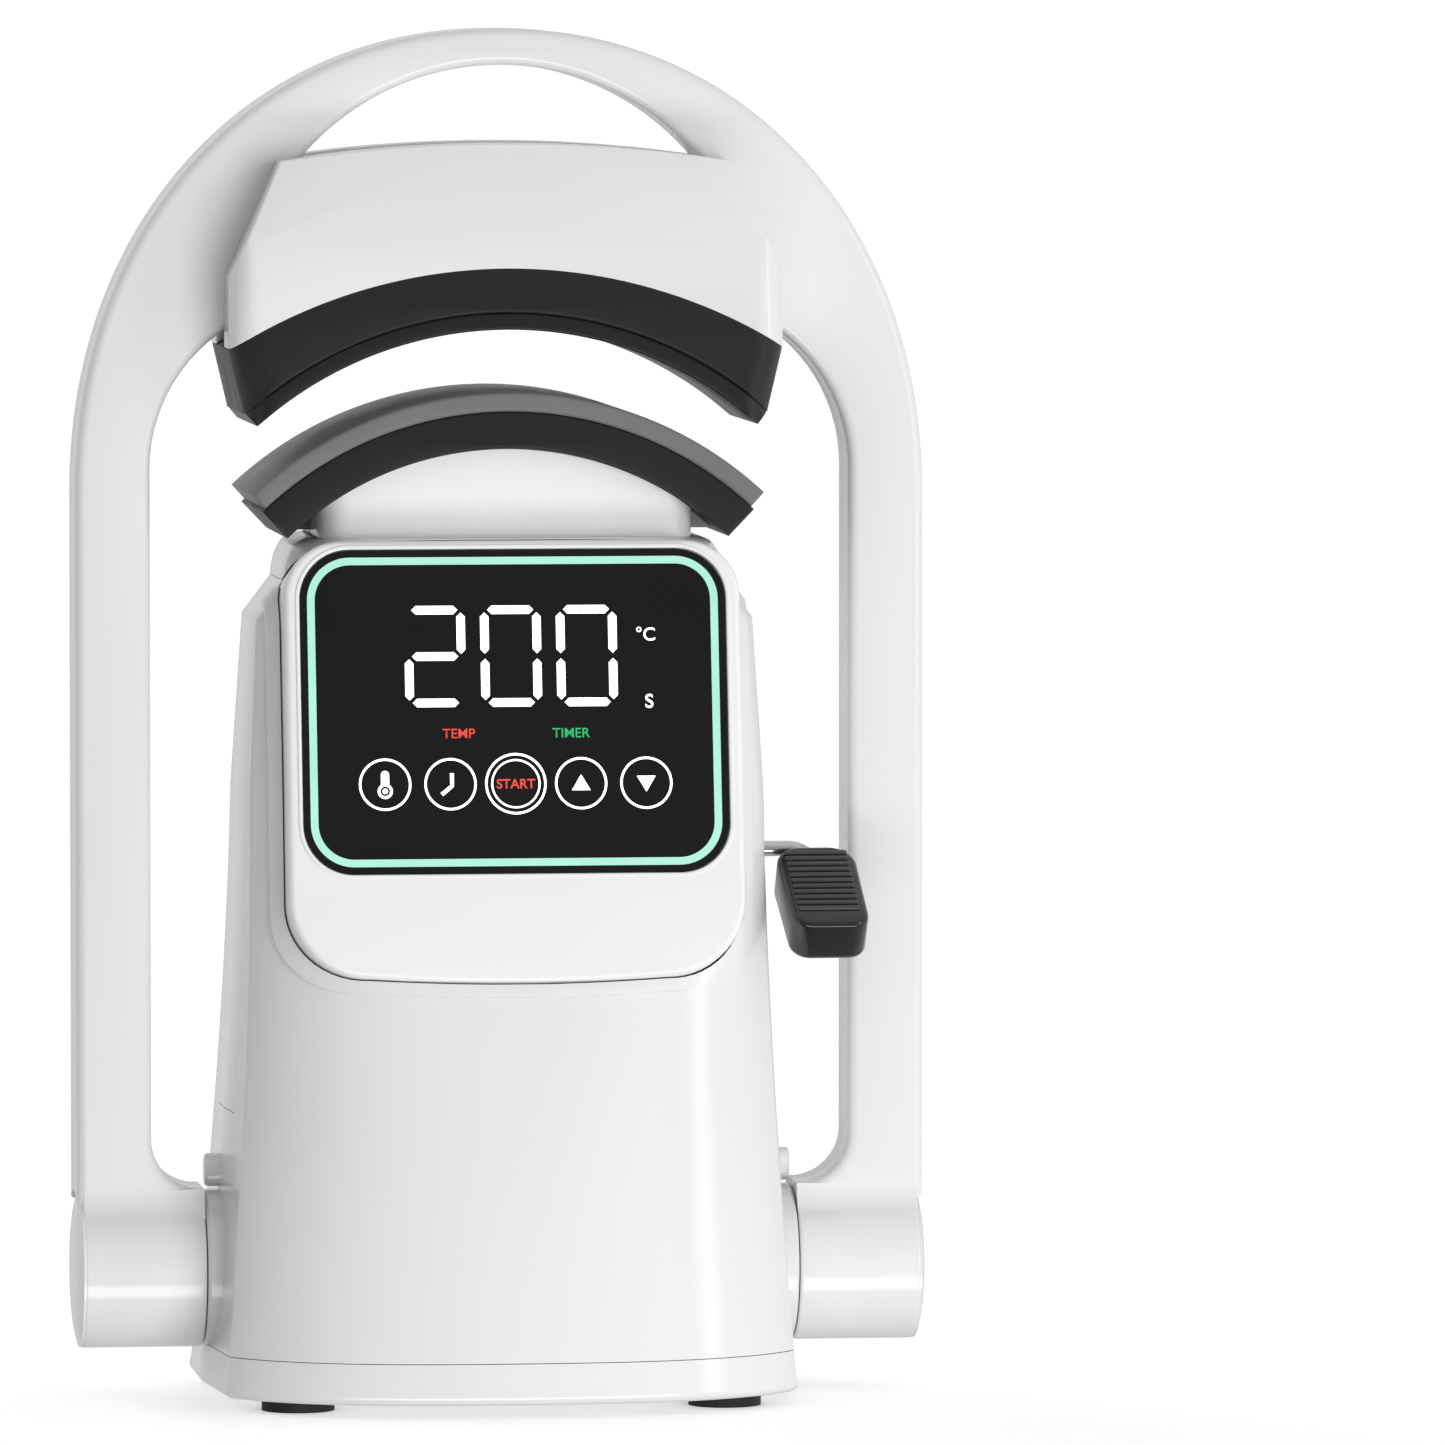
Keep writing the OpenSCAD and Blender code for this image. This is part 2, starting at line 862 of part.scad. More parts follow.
module power_rocker() {
    rocker_half = 4.1;
    color("black")
        translate([20.8, rear_face + 5, rocker_z])
            rotate([0, 90, 0])
                linear_extrude(height = 15.4)
                    rotate([0, 0, rocker_tilt])
                        polygon([[-rocker_half, -3.5], [rocker_half, -3.5], [rocker_half, 6.6],
                                 [0, 5.2], [-rocker_half, 6.6]]);
}

// Root body: frame and drive

module frame_base() {
    color("silver")
        difference() {
            translate([-72, -52, frame_base_z])
                cube([144, 104, plate_t]);
            for (x = [-foot_x + 10, foot_x - 10])
                for (y = [-foot_y, foot_y])
                    translate([x, y, 0])
                        cylinder(r = 1.7, h = 60, $fn = 32);
        }
    color("silver")
        for (x = [-56, 56])
            for (y = [-40, 40])
                translate([x, y, tray_floor_z])
                    cylinder(r = 5, h = frame_base_z - tray_floor_z, $fn = 48);
}

module frame_side() {
    color("silver")
        difference() {
            slab(lever_y - 14, 30)
                translate([frame_x, frame_base_z + plate_t])
                    square([plate_t, upper_guide_z - frame_base_z - plate_t]);
            translate([0, 0, pivot_z])
                bar_x(pivot_shaft_r + seat_gap, 50, 80);
            translate([0, lever_y, lever_z])
                bar_x(lever_bush_r + 0.1, 50, 80);
        }
}

module frame_side_right() {
    frame_side();
}

module frame_side_left() {
    mirror([1, 0, 0])
        frame_side();
}

module lower_guide_plate() {
    color("silver")
        difference() {
            translate([-frame_x, -22, lower_guide_z])
                cube([2 * frame_x, 52, plate_t]);
            column(bearing_r + seat_gap, lower_guide_z - 1, lower_guide_z + plate_t + 1);
        }
}

module upper_guide_plate() {
    color("silver")
        difference() {
            union() {
                translate([-frame_x - plate_t, lever_y - 10, upper_guide_z])
                    cube([2 * (frame_x + plate_t), 30 + 10 - lever_y, plate_t]);
                translate([-hook_half - 4, 0, upper_guide_z])
                    cube([2 * (hook_half + 4), hook_y + hook_t + 4, plate_t]);
            }
            column(bearing_r + seat_gap, upper_guide_z - 1, upper_guide_z + plate_t + 1);
            for (x = [-post_x, post_x])
                translate([x, 0, 0])
                    column(post_r + 3.02, upper_guide_z - 1, upper_guide_z + plate_t + 1);
            hook_slot(0.3);
        }
}

module guide_bushes() {
    color("goldenrod")
        for (x = [-post_x, post_x])
            translate([x, 0, upper_guide_z])
                difference() {
                    union() {
                        translate([0, 0, -8])
                            cylinder(r = post_r + 3, h = 8 + plate_t, $fn = arc_fn);
                        translate([0, 0, plate_t])
                            cylinder(r = post_r + 6, h = 3, $fn = arc_fn);
                    }
                    translate([0, 0, -9])
                        cylinder(r = post_r + running_gap, h = 30, $fn = arc_fn);
                }
}

module pivot_shaft_right() {
    color("silver")
        translate([0, 0, pivot_z]) {
            bar_x(pivot_shaft_r, frame_x - 6, cap_in - 4);
            bar_x(13, frame_x + plate_t, frame_x + plate_t + 4);
            bar_x(11, frame_x - 6, frame_x);
        }
}

module pivot_shaft_left() {
    mirror([1, 0, 0])
        pivot_shaft_right();
}

module gear_motor() {
    color("dimgray")
        column(motor_r, motor_top - motor_len, motor_top - 20);
    color("silver")
        difference() {
            column(motor_r - 0.5, motor_top - 20, motor_top);
            column(journal_r + 0.3, motor_top - 8, motor_top + 1);
        }
}

module motor_mount() {
    color("silver") {
        difference() {
            translate([-26, -20, motor_top])
                cube([52, 40, plate_t]);
            column(journal_r + 2, motor_top - 1, motor_top + plate_t + 1);
        }
        for (x = [-21, 21])
            for (y = [-15, 15])
                translate([x, y, 0])
                    column(3, motor_top + plate_t, lower_guide_z, 48);
    }
}

module screw_bearings() {
    color("silver")
        for (z = [lower_guide_z, upper_guide_z])
            difference() {
                column(bearing_r, z, z + plate_t);
                column(journal_r + running_gap, z - 1, z + plate_t + 1);
            }
}

module lever_bushes() {
    color("black")
        difference() {
            translate([0, lever_y, lever_z]) {
                bar_x(lever_bush_r, frame_x - 1, frame_x + plate_t);
                bar_x(lever_bush_r + 2, frame_x - 3, frame_x - seat_gap);
                bar_x(lever_bush_r, waist_half - 8, waist_half - 0.6);
            }
            translate([0, lever_y, lever_z])
                bar_x(lever_r + running_gap, 50, 120);
        }
}

module feet() {
    color("black")
        for (x = [-foot_x, foot_x])
            for (y = [-foot_y, foot_y])
                translate([x, y, 0])
                    difference() {
                        cylinder(r = foot_r, h = tray_z, $fn = arc_fn);
                        translate([0, 0, -1])
                            cylinder(r = 3.4, h = 3.4, $fn = 48);
                        cylinder(r = 1.7, h = 20, $fn = 32);
                    }
}

module foot_screws() {
    color("silver")
        for (x = [-foot_x, foot_x])
            for (y = [-foot_y, foot_y])
                translate([x, y, 0]) {
                    column(3, 0.8, 2.4, 48);
                    column(1.6, 2.3, tray_floor_z + 2, 32);
                }
}

// Lift body

module lift_yoke() {
    color("silver")
        difference() {
            translate([-post_x - 12, -yoke_depth_half, yoke_z])
                cube([2 * (post_x + 12), 2 * yoke_depth_half, yoke_t]);
            column(nut_r + seat_gap, yoke_z - 1, yoke_z + yoke_t + 1);
            for (x = [-post_x, post_x])
                translate([x, 0, 0])
                    column(post_r + seat_gap, yoke_z + 4, yoke_z + yoke_t + 1);
        }
}

module lift_nut() {
    color("goldenrod")
        difference() {
            union() {
                column(nut_r, yoke_z, yoke_z + yoke_t + 3);
                column(nut_r + 2.5, yoke_z - 3, yoke_z);
            }
            column(screw_r + running_gap, yoke_z - 4, yoke_z + yoke_t + 4);
        }
}

module lift_posts() {
    color("silver")
        for (x = [-post_x, post_x])
            translate([x, 0, 0])
                column(post_r, yoke_z + 4, mount_plate_z);
}

module platen_bracket() {
    plate_half = 54;
    wing_half = 74;
    color("gray") {
        difference() {
            translate([-plate_half, -28, mount_plate_z])
                cube([2 * plate_half, 56, mount_plate_t]);
            for (x = [-peg_x, peg_x])
                translate([x, 0, mount_plate_z - 1])
                    cylinder(r = peg_r - 1.5 + seat_gap, h = 10, $fn = 48);
        }
        slab(-3, 3)
            difference() {
                both_sides() {
                    translate([plate_half, mount_plate_z - 2.5])
                        square([wing_half - plate_half, 30]);
                    translate([post_x + post_r + 0.5, neck_low])
                        square([neck_half - post_x - post_r - 0.5, 50]);
                }
                translate([0, platen_centre_z])
                    difference() {
                        circle(r = 300, $fn = 90);
                        circle(r = platen_in_r - 0.4, $fn = 180);
                    }
            }
    }
}

module platen_pegs() {
    color("silver")
        for (x = [-peg_x, peg_x])
            translate([x, 0, 0]) {
                column(peg_r, mount_plate_z + mount_plate_t, peg_top);
                column(peg_r - 1.5, mount_plate_z, mount_plate_z + mount_plate_t);
            }
}

module neck_solid(inset) {
    intersection() {
        translate([0, -neck_depth_half + inset, neck_low])
            linear_extrude(height = 80)
                rounded_rect(2 * (neck_half - inset), 2 * (neck_depth_half - inset), 10 - inset);
        slab(-far / 2, far / 2)
            translate([0, platen_centre_z])
                circle(r = platen_in_r - 0.4, $fn = 180);
    }
}

module neck_half_cover(dir) {
    near = dir < 0 ? -far - 3 : 3;
    difference() {
        intersection() {
            neck_solid(0);
            translate([-far / 2, near, 0])
                cube(far);
        }
        translate([0, 0, -1])
            linear_extrude(height = far)
                translate([0, -neck_depth_half + 2.4])
                    rounded_rect(2 * (neck_half - 2.4), 2 * (neck_depth_half - 2.4), 7.6);
    }
}

module neck_front_cover() {
    color("white")
        neck_half_cover(-1);
}

module neck_rear_cover() {
    color("whitesmoke")
        neck_half_cover(1);
}

// Lower platen body

module lower_platen_base() {
    color("dimgray")
        difference() {
            union() {
                slab(-pad_depth_half + 1, pad_depth_half - 1)
                    ring_sector(platen_centre_z, platen_in_r, platen_seat_r, platen_angle);
                for (x = [-peg_x, peg_x])
                    translate([x, 0, 0])
                        column(peg_r + 4, mount_plate_z + mount_plate_t + 0.3,
                                       platen_centre_z + platen_in_r * 0.95);
            }
            for (x = [-peg_x, peg_x])
                translate([x, 0, 0])
                    column(peg_r + running_gap, mount_plate_z, peg_top + 1);
        }
}

module lower_pad() {
    color("gray")
        slab(-pad_depth_half, pad_depth_half)
            ring_sector(platen_centre_z, platen_seat_r, pad_r, pad_angle);
}

// Lead screw body

module lead_screw() {
    color("silver") {
        column(screw_r, screw_low, screw_high);
        column(journal_r, motor_top - 6, upper_guide_z + plate_t);
    }
}

module shaft_coupler() {
    color("gray")
        difference() {
            column(8.5, motor_top + plate_t + 1, lower_guide_z - 1);
            column(journal_r, motor_top, lower_guide_z);
        }
}

// Arch body

// The part of a shell above the seam, which holds the curved top
module crown_part(dir) {
    intersection() {
        arch_shell_half(dir);
        translate([-far / 2, -far / 2, crown_seam_z])
            cube(far);
    }
}

// The parts of a shell below the seam, which cover the legs and the barrels
module leg_parts(dir) {
    intersection() {
        arch_shell_half(dir);
        translate([-far / 2, -far / 2, crown_seam_z - seat_gap - far])
            cube(far);
    }
}

module arch_front_shell() {
    color("white")
        crown_part(-1);
}

module arch_rear_shell() {
    color("whitesmoke")
        crown_part(1);
}

module arch_front_legs() {
    color("white")
        leg_parts(-1);
}

module arch_rear_legs() {
    color("whitesmoke")
        leg_parts(1);
}

module arch_frame() {
    hub_r = pivot_bush_r + 5;
    color("silver")
        difference() {
            union() {
                slab(-frame_half, frame_half)
                    arch_plate(arch_wall + 0.3);
                slab(-frame_half, frame_half)
                    head_foot();
                translate([0, 0, pivot_z])
                    both_sides()
                        bar_x(hub_r, barrel_in + arch_wall + 1, cap_in - 1);
            }
            translate([0, 0, pivot_z])
                both_sides() {
                    bar_x(pivot_bush_r, barrel_in, cap_in + 1);
                    bar_x(barrel_r + 0.5, cap_in - 0.5, cap_in + 20);
                }
        }
}

// Foot of the frame that stands on the platen housing
module head_foot() {
    difference() {
        translate([-head_foot_half, housing_top - 10])
            square([2 * head_foot_half, 16]);
        translate([0, housing_centre_z])
            circle(r = housing_top_r, $fn = 240);
    }
}

module pivot_bushes() {
    color("goldenrod")
        translate([0, 0, pivot_z])
            both_sides()
                difference() {
                    bar_x(pivot_bush_r, barrel_in + arch_wall + 1, cap_in - 1);
                    bar_x(pivot_shaft_r + running_gap, barrel_in, cap_in);
                }
}

module pivot_cap_right() {
    dome_r = (pow(barrel_r, 2) + pow(cap_bulge + 2, 2)) / (2 * (cap_bulge + 2));
    dome_x = arch_half + cap_bulge - dome_r;
    color("white")
        translate([0, 0, pivot_z])
            intersection() {
                bar_x(barrel_r, cap_in, arch_half + cap_bulge + 1);
                translate([dome_x, 0, 0])
                    sphere(r = dome_r, $fn = 200);
            }
}

module pivot_cap_left() {
    mirror([1, 0, 0])
        pivot_cap_right();
}

module head_front_cover() {
    color("white")
        head_cover(-1);
}

module head_rear_cover() {
    color("whitesmoke")
        head_cover(1);
}

module housing_outline(inset) {
    side_x = head_half + 0.2 - inset;
    difference() {
        intersection() {
            translate([0, housing_centre_z])
                circle(r = housing_top_r - inset, $fn = 240);
            polygon([[-side_x, 400], [-side_x, housing_bend_z], [-housing_low_half + inset, housing_low_z],
                     [-housing_low_half + inset, 260], [housing_low_half - inset, 260],
                     [housing_low_half - inset, housing_low_z], [side_x, housing_bend_z], [side_x, 400]]);
        }
        translate([0, hot_centre_z])
            circle(r = hot_outer_r, $fn = 240);
        translate([-far / 2, 0])
            square([far, housing_low_z - 2]);
    }
}

module platen_housing() {
    color("dimgray")
        difference() {
            slab(-head_depth_half, head_depth_half)
                housing_outline(0);
            slab(-head_depth_half + 3, head_depth_half - 3)
                ring_sector(hot_centre_z, hot_outer_r - 1, hot_outer_r + insulation_t, hot_plate_angle - 2);
        }
}

module heating_plate() {
    color("darkgray")
        slab(-head_depth_half + 1, head_depth_half - 1)
            ring_sector(hot_centre_z, hot_r, hot_outer_r, hot_plate_angle);
}

module heating_film() {
    color("peru")
        slab(-head_depth_half + 8, head_depth_half - 8)
            ring_sector(hot_centre_z, hot_outer_r, hot_outer_r + heater_film_t, hot_plate_angle - 4);
}

module insulation_pad() {
    color("beige")
        difference() {
            slab(-head_depth_half + 4, head_depth_half - 4)
                ring_sector(hot_centre_z, insulation_in_r, hot_outer_r + insulation_t,
                            hot_plate_angle - 3);
            translate([0, 0, hot_centre_z])
                column(8.3, 0, 400);
        }
}

module thermostat() {
    color("silver")
        column(8, hot_centre_z + insulation_in_r,
               hot_centre_z + hot_outer_r + insulation_t - 0.4);
}

module arch_screws() {
    color("silver")
        at_arch_screws()
            difference() {
                cylinder(r = screw_head_r, h = screw_head_h, $fn = 48);
                translate([0, 0, screw_head_h / 2])
                    cylinder(r = 1.6, h = 2, $fn = 6);
            }
}

// Lever body

// A shape drawn along the grip, which slopes down towards the user
module along_grip() {
    translate([0, lever_y, lever_z])
        rotate([90 + grip_slope, 0, 0])
            children();
}

module lever_shaft() {
    bend_x = grip_x - 2;
    color("silver") {
        translate([0, lever_y, lever_z])
            bar_x(lever_r, pinion_x - 4, bend_x + lever_r, 48);
        along_grip()
            translate([bend_x, 0, -lever_r])
                cylinder(r = lever_r, h = lever_r + 16, $fn = 48);
    }
}

module lever_grip() {
    root = lever_r + 1.5;
    rib_h = 1.2;
    rib_step = (grip_len - 4) / grip_ribs;
    color("black")
        along_grip()
            translate([grip_x, 0, root])
                difference() {
                    union() {
                        translate([0, grip_t / 2, 0])
                            rotate([90, 0, 0])
                                linear_extrude(height = grip_t)
                                    polygon([[-grip_w / 2, 0], [grip_w / 2, 0],
                                             [grip_end_w / 2, grip_len], [-grip_end_w / 2, grip_len]]);
                        for (i = [0:grip_ribs - 1])
                            translate([-grip_w / 2 + 1, grip_t / 2, 2 + i * rib_step])
                                cube([grip_w - 2, rib_h, rib_step * 0.55]);
                    }
                    translate([-2, 0, -root])
                        cylinder(r = lever_r, h = 16, $fn = 48);
                }
}

module lever_pinion() {
    pitch = 360 / pinion_teeth;
    root_r = pinion_r - tooth_h;
    color("dimgray")
        translate([0, lever_y, lever_z])
            rotate([0, 90, 0])
                translate([0, 0, pinion_x])
                    difference() {
                        linear_extrude(height = pinion_w) {
                            circle(r = root_r, $fn = 64);
                            for (i = [0:pinion_teeth - 1])
                                rotate([0, 0, (i + 0.5) * pitch + 90])
                                    polygon([[root_r - 0.4, -1.1], [pinion_r + 0.9, -0.45],
                                             [pinion_r + 0.9, 0.45], [root_r - 0.4, 1.1]]);
                        }
                        translate([0, 0, -1])
                            cylinder(r = lever_r, h = pinion_w + 2, $fn = 48);
                    }
}

// Hook body

module cap_hook() {
    color("gray") {
        translate([-hook_half, hook_y, rack_high])
            cube([2 * hook_half, hook_t, hook_lip_z - rack_high]);
        translate([-hook_half, hook_y, hook_lip_z])
            cube([2 * hook_half, hook_t + 7, 2.5]);
    }
}

module hook_rack() {
    rack_pitch = 2 * PI * pinion_r / pinion_teeth;
    face_y = rack_y + tooth_h;
    color("dimgray") {
        translate([pinion_x - 0.5, face_y, rack_low])
            cube([pinion_w + 1, rack_t, rack_high + 8 - rack_low]);
        translate([pinion_x - 0.5, face_y, rack_high])
            cube([pinion_w + 1, hook_y - face_y, 8]);
        for (i = [-1:3])
            translate([pinion_x, 0, lever_z + i * rack_pitch])
                rotate([0, 90, 0])
                    linear_extrude(height = pinion_w)
                        polygon([[-1, face_y], [-0.4, rack_y - 0.5], [0.4, rack_y - 0.5], [1, face_y]]);
    }
}

base_tray();
main_shell();
rear_cover();
side_panel_left();
side_panel_right();
fascia();
display_glass();
light_ring();
display_module();
control_board();
power_board();
power_inlet();
switch_bezel();
frame_base();
frame_side_left();
frame_side_right();
lower_guide_plate();
upper_guide_plate();
guide_bushes();
pivot_shaft_left();
pivot_shaft_right();
gear_motor();
motor_mount();
screw_bearings();
lever_bushes();
feet();
foot_screws();
lift_yoke();
lift_nut();
lift_posts();
platen_bracket();
platen_pegs();
neck_front_cover();
neck_rear_cover();
lower_platen_base();
lower_pad();
lead_screw();
shaft_coupler();
arch_front_shell();
arch_rear_shell();
arch_front_legs();
arch_rear_legs();
arch_frame();
pivot_bushes();
pivot_cap_left();
pivot_cap_right();
head_front_cover();
head_rear_cover();
platen_housing();
heating_plate();
heating_film();
insulation_pad();
thermostat();
arch_screws();
lever_shaft();
lever_grip();
lever_pinion();
cap_hook();
hook_rack();
power_rocker();
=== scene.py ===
"""Looks of the cap heat press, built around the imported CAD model.

Lengths are in millimetres unless a name says otherwise.
"""
import json
from math import acos, asin, atan2, copysign, cos, dist, pi, radians, sin, sqrt, tan

import bmesh
import bpy
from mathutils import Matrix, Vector, geometry


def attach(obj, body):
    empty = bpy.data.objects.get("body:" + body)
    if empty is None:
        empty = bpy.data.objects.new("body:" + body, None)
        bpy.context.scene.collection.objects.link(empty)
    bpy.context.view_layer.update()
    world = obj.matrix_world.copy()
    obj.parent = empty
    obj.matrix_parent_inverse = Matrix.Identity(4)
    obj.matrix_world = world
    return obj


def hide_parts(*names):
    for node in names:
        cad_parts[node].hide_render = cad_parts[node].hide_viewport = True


MM = 0.001

# Swing arch
ARCH_HALF = 140.8
ARCH_TOP = 453.0
ARCH_SPRING = 299.0
ARCH_POWER = 2.1
ARCH_DEPTH_HALF = 15.0
ARCH_EDGE_R = 3.4
LEG_IN = 116.0
CROWN_INNER_R = 55.0
CROWN_INNER_Z = 308.0
GRIP_TOP = 441.0
GRIP_R = 86.5
PIVOT_Z = 42.7
BARREL_R = 26.1
BARREL_IN = 98.6
BARREL_FILLET = 16.5
BARREL_EDGE_R = 1.2
WINDOW_LOW_Z = PIVOT_Z + BARREL_R + 1.4
SHELL_GAP = 0.15
BLEND_R = 13.0
CAP_IN = 139.0
CAP_OUT = 141.5

# Head
HEAD_HALF = 91.6
HEAD_DEPTH_HALF = 41.0
HEAD_TOP = 415.5
HEAD_TOP_R = 490.0
HEAD_TOP_HALF = 74.5
HEAD_SHOULDER_Z = 372.0
HEAD_CREASE_Z = 386.5
HEAD_CREASE_DROP = 4.5
HEAD_LEAN = radians(15)
HEAD_EDGE_R = 9.0
HOUSING_TOP = 374.6
HOUSING_TOP_R = 171.7
HOUSING_LOW_HALF = 86.8
HOUSING_LOW_Z = 327.6
HOUSING_BEND_Z = 348.1
HOUSING_END_R = 11.0
HOT_R = 124.5
HOT_T = 5.5
HOT_ANGLE = radians(41.6)
HOT_CENTRE_Z = 230.0

# Lower platen
PLATEN_CENTRE_Z = 210.0
PAD_R = 124.0
PAD_T = 6.3
PLATEN_T = 12.2
PAD_ANGLE = radians(43)
PLATEN_ANGLE = radians(43.7)
PAD_DEPTH_HALF = 41.0
PEG_X = 40.0
PEG_R = 5.0
MOUNT_TOP = 293.5

# Body
BODY_TOP = 286.0
WAIST_HALF = 86.0
WAIST_Z = 200.0
BASE_HALF = 99.5
TOP_TAPER = 3.6
CHAMFER_Z = 259.0
CHAMFER_W = 9.4
SHOULDER_Z = 271.5
TOP_HALF = 64.5
SIDE_FLAT_TOP = 2.8
SIDE_FLAT_BASE = 7.0
TOE_IN_BASE = 0.09
TOP_FRONT = 46.0
BASE_FRONT = 83.0
BASE_REAR = 83.0
FRONT_BOW = 0.84
REAR_BOW = 0.4
PLAN_POWER = 2.6
TOP_POWER = 3.2
BODY_WALL = 2.6
PLINTH_Z = 18.0
TRAY_Z = 4.0
SIDE_PANEL_HALF = 22.0
SIDE_PANEL_Z = 96.0
SEAM = 0.5
FINE_SEAM = 0.25
REACH = 150

# Rear cover and its vent slots, and the opposite corners of the openings for hook, inlet and switch
COVER_HALF = 62
COVER_LOW, COVER_TOP = 30, 256
COVER_R = 12
COVER_IN = 20
SLOT_X = range(-44, 45, 11)
SLOT_Z = range(190, 231, 8)
SLOT_HALF_W = 3
SLOT_H = 3
HOOK_SLOT = ((-29.6, 35.0, 220), (29.6, 39.2, 320))
SOCKETS = (((-46, COVER_IN, 44), (-18, REACH, 64)), ((18, COVER_IN, 46), (39, REACH, 61)))

# Front panel
PANEL_TILT = radians(10)
PANEL_Z = 142.0
PANEL_Y = 74.0
PANEL_HALF = 75.2
PANEL_DEPTH = 26.0
PANEL_LOW_ARC_R = 600.0
PANEL_LOW_R = 26.0
GLASS_W = 140.0
GLASS_H = 106.6
GLASS_UP = 36.3
GLASS_R = 16.5
GLASS_RECESS = 0.5

# Neck
NECK_HALF = 62.0
NECK_DEPTH_HALF = 34.0
NECK_LOW = 262.0
NECK_CUT_LOW = 220
CUT_TOP = 320

# Tension lever
LEVER_Z = 181.0
LEVER_Y = -22.0
LEVER_R = 2.6
GRIP_X = 101.8
GRIP_SLOPE = radians(38)
GRIP_SIDEWAYS = 0.073

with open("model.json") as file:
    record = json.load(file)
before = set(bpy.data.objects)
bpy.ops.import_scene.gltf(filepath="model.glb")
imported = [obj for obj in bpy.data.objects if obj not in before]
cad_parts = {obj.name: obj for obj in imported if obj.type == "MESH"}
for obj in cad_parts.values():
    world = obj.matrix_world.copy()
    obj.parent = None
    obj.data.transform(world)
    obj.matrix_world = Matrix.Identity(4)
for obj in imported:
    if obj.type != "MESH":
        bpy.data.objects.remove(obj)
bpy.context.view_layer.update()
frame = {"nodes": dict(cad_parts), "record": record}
NODES = frame["nodes"]
QUARTER = pi / 2


# Camera, light and floor

def place_object(name, data):
    item = bpy.data.objects.new(name, data)
    bpy.context.scene.collection.objects.link(item)
    return item


def turn_towards(item, direction, axis):
    """Turns an object so that one of its axes points in a direction."""
    item.rotation_mode = "QUATERNION"
    item.rotation_quaternion = Vector(direction).to_track_quat(axis, "Y")


def make_camera():
    """A long lens from the left of the front, level with a point just above the press."""
    distance = 4.831
    height = 0.514
    azimuth = radians(6)
    sensor = 36.0
    metres_per_pixel = 0.331 * MM
    pixels = 1445
    aim = Vector((0.0746, -0.0078, 0.2229))
    data = bpy.data.cameras.new("camera")
    data.sensor_width = sensor
    data.lens = distance / (metres_per_pixel * pixels) * sensor
    data.clip_end = 100
    camera = place_object("camera", data)
    camera.location = (-distance * sin(azimuth), -distance * cos(azimuth), height)
    turn_towards(camera, aim - camera.location, "-Z")
    bpy.context.scene.camera = camera


def area_light(name, location, target, size, power):
    """A rectangular light of a width and height in metres, turned to its target."""
    data = bpy.data.lights.new(name, "AREA")
    data.shape = "RECTANGLE"
    data.size, data.size_y = size
    data.energy = power
    light = place_object(name, data)
    light.location = location
    turn_towards(light, Vector(target) - Vector(location), "-Z")


def sun_light(name, direction, strength, softness):
    """Even light from one direction, given as a vector that points towards the light."""
    data = bpy.data.lights.new(name, "SUN")
    data.energy = strength
    data.angle = radians(softness)
    light = place_object(name, data)
    turn_towards(light, direction, "Z")
    light.visible_glossy = False


def make_lights():
    sun_light("key", (0.36, -0.92, -0.10), 1.28, 35)
    sun_light("back", (-0.70, 0.68, 0.22), 1.3, 50)
    area_light("strip", (1.3, -1.0, 0.35), (0, 0, 0.2), (0.25, 1.4), 2.4)
    area_light("table_glow", (0.1, -1.75, -0.95), (0, 0, 0.1), (2.6, 0.6), 17.0)


def make_world():
    """A white room, brighter on one side. The camera sees it plain white."""
    bright_side = (0.50, 0.60, 0.62)
    dim, bright = 0.17, 0.77
    white = (1, 1, 1, 1)
    world = bpy.context.scene.world = bpy.data.worlds.new("studio")
    nodes = Nodes(world)
    room = nodes.tree.nodes["Background"]
    nodes.set(room, Color=white)
    toward = nodes.add("ShaderNodeVectorMath", "operation", "DOT_PRODUCT")
    toward.inputs[1].default_value = bright_side
    nodes.link(nodes.place["Generated"], toward.inputs[0])
    nodes.link(nodes.ramp(toward.outputs["Value"], dim, bright, -1, 1), room.inputs["Strength"])
    seen = nodes.add("ShaderNodeBackground", Color=white)
    mix = nodes.add("ShaderNodeMixShader")
    path = nodes.add("ShaderNodeLightPath")
    inputs = (path.outputs["Is Camera Ray"], room.outputs[0], seen.outputs[0])
    for output, socket in zip(inputs, mix.inputs):
        nodes.link(output, socket)
    nodes.link(mix.outputs[0], nodes.tree.nodes["World Output"].inputs[0])


def make_floor():
    """A pale table that lights no piece and shows in none. A little glow keeps it as white as the room."""
    side = 60.0
    glow = 0.34
    white = (1, 1, 1, 1)
    mesh = bpy.data.meshes.new("floor")
    corners = [(-side, -side, 0), (side, -side, 0), (side, side, 0), (-side, side, 0)]
    mesh.from_pydata(corners, [], [(0, 1, 2, 3)])
    floor = place_object("floor", mesh)
    nodes = material_nodes("floor_pale")
    mesh.materials.append(nodes.finish(Base_Color=white, Roughness=0.55, Emission_Color=white,
                                       Emission_Strength=glow))
    floor.visible_diffuse = floor.visible_glossy = floor.visible_shadow = False


# Materials

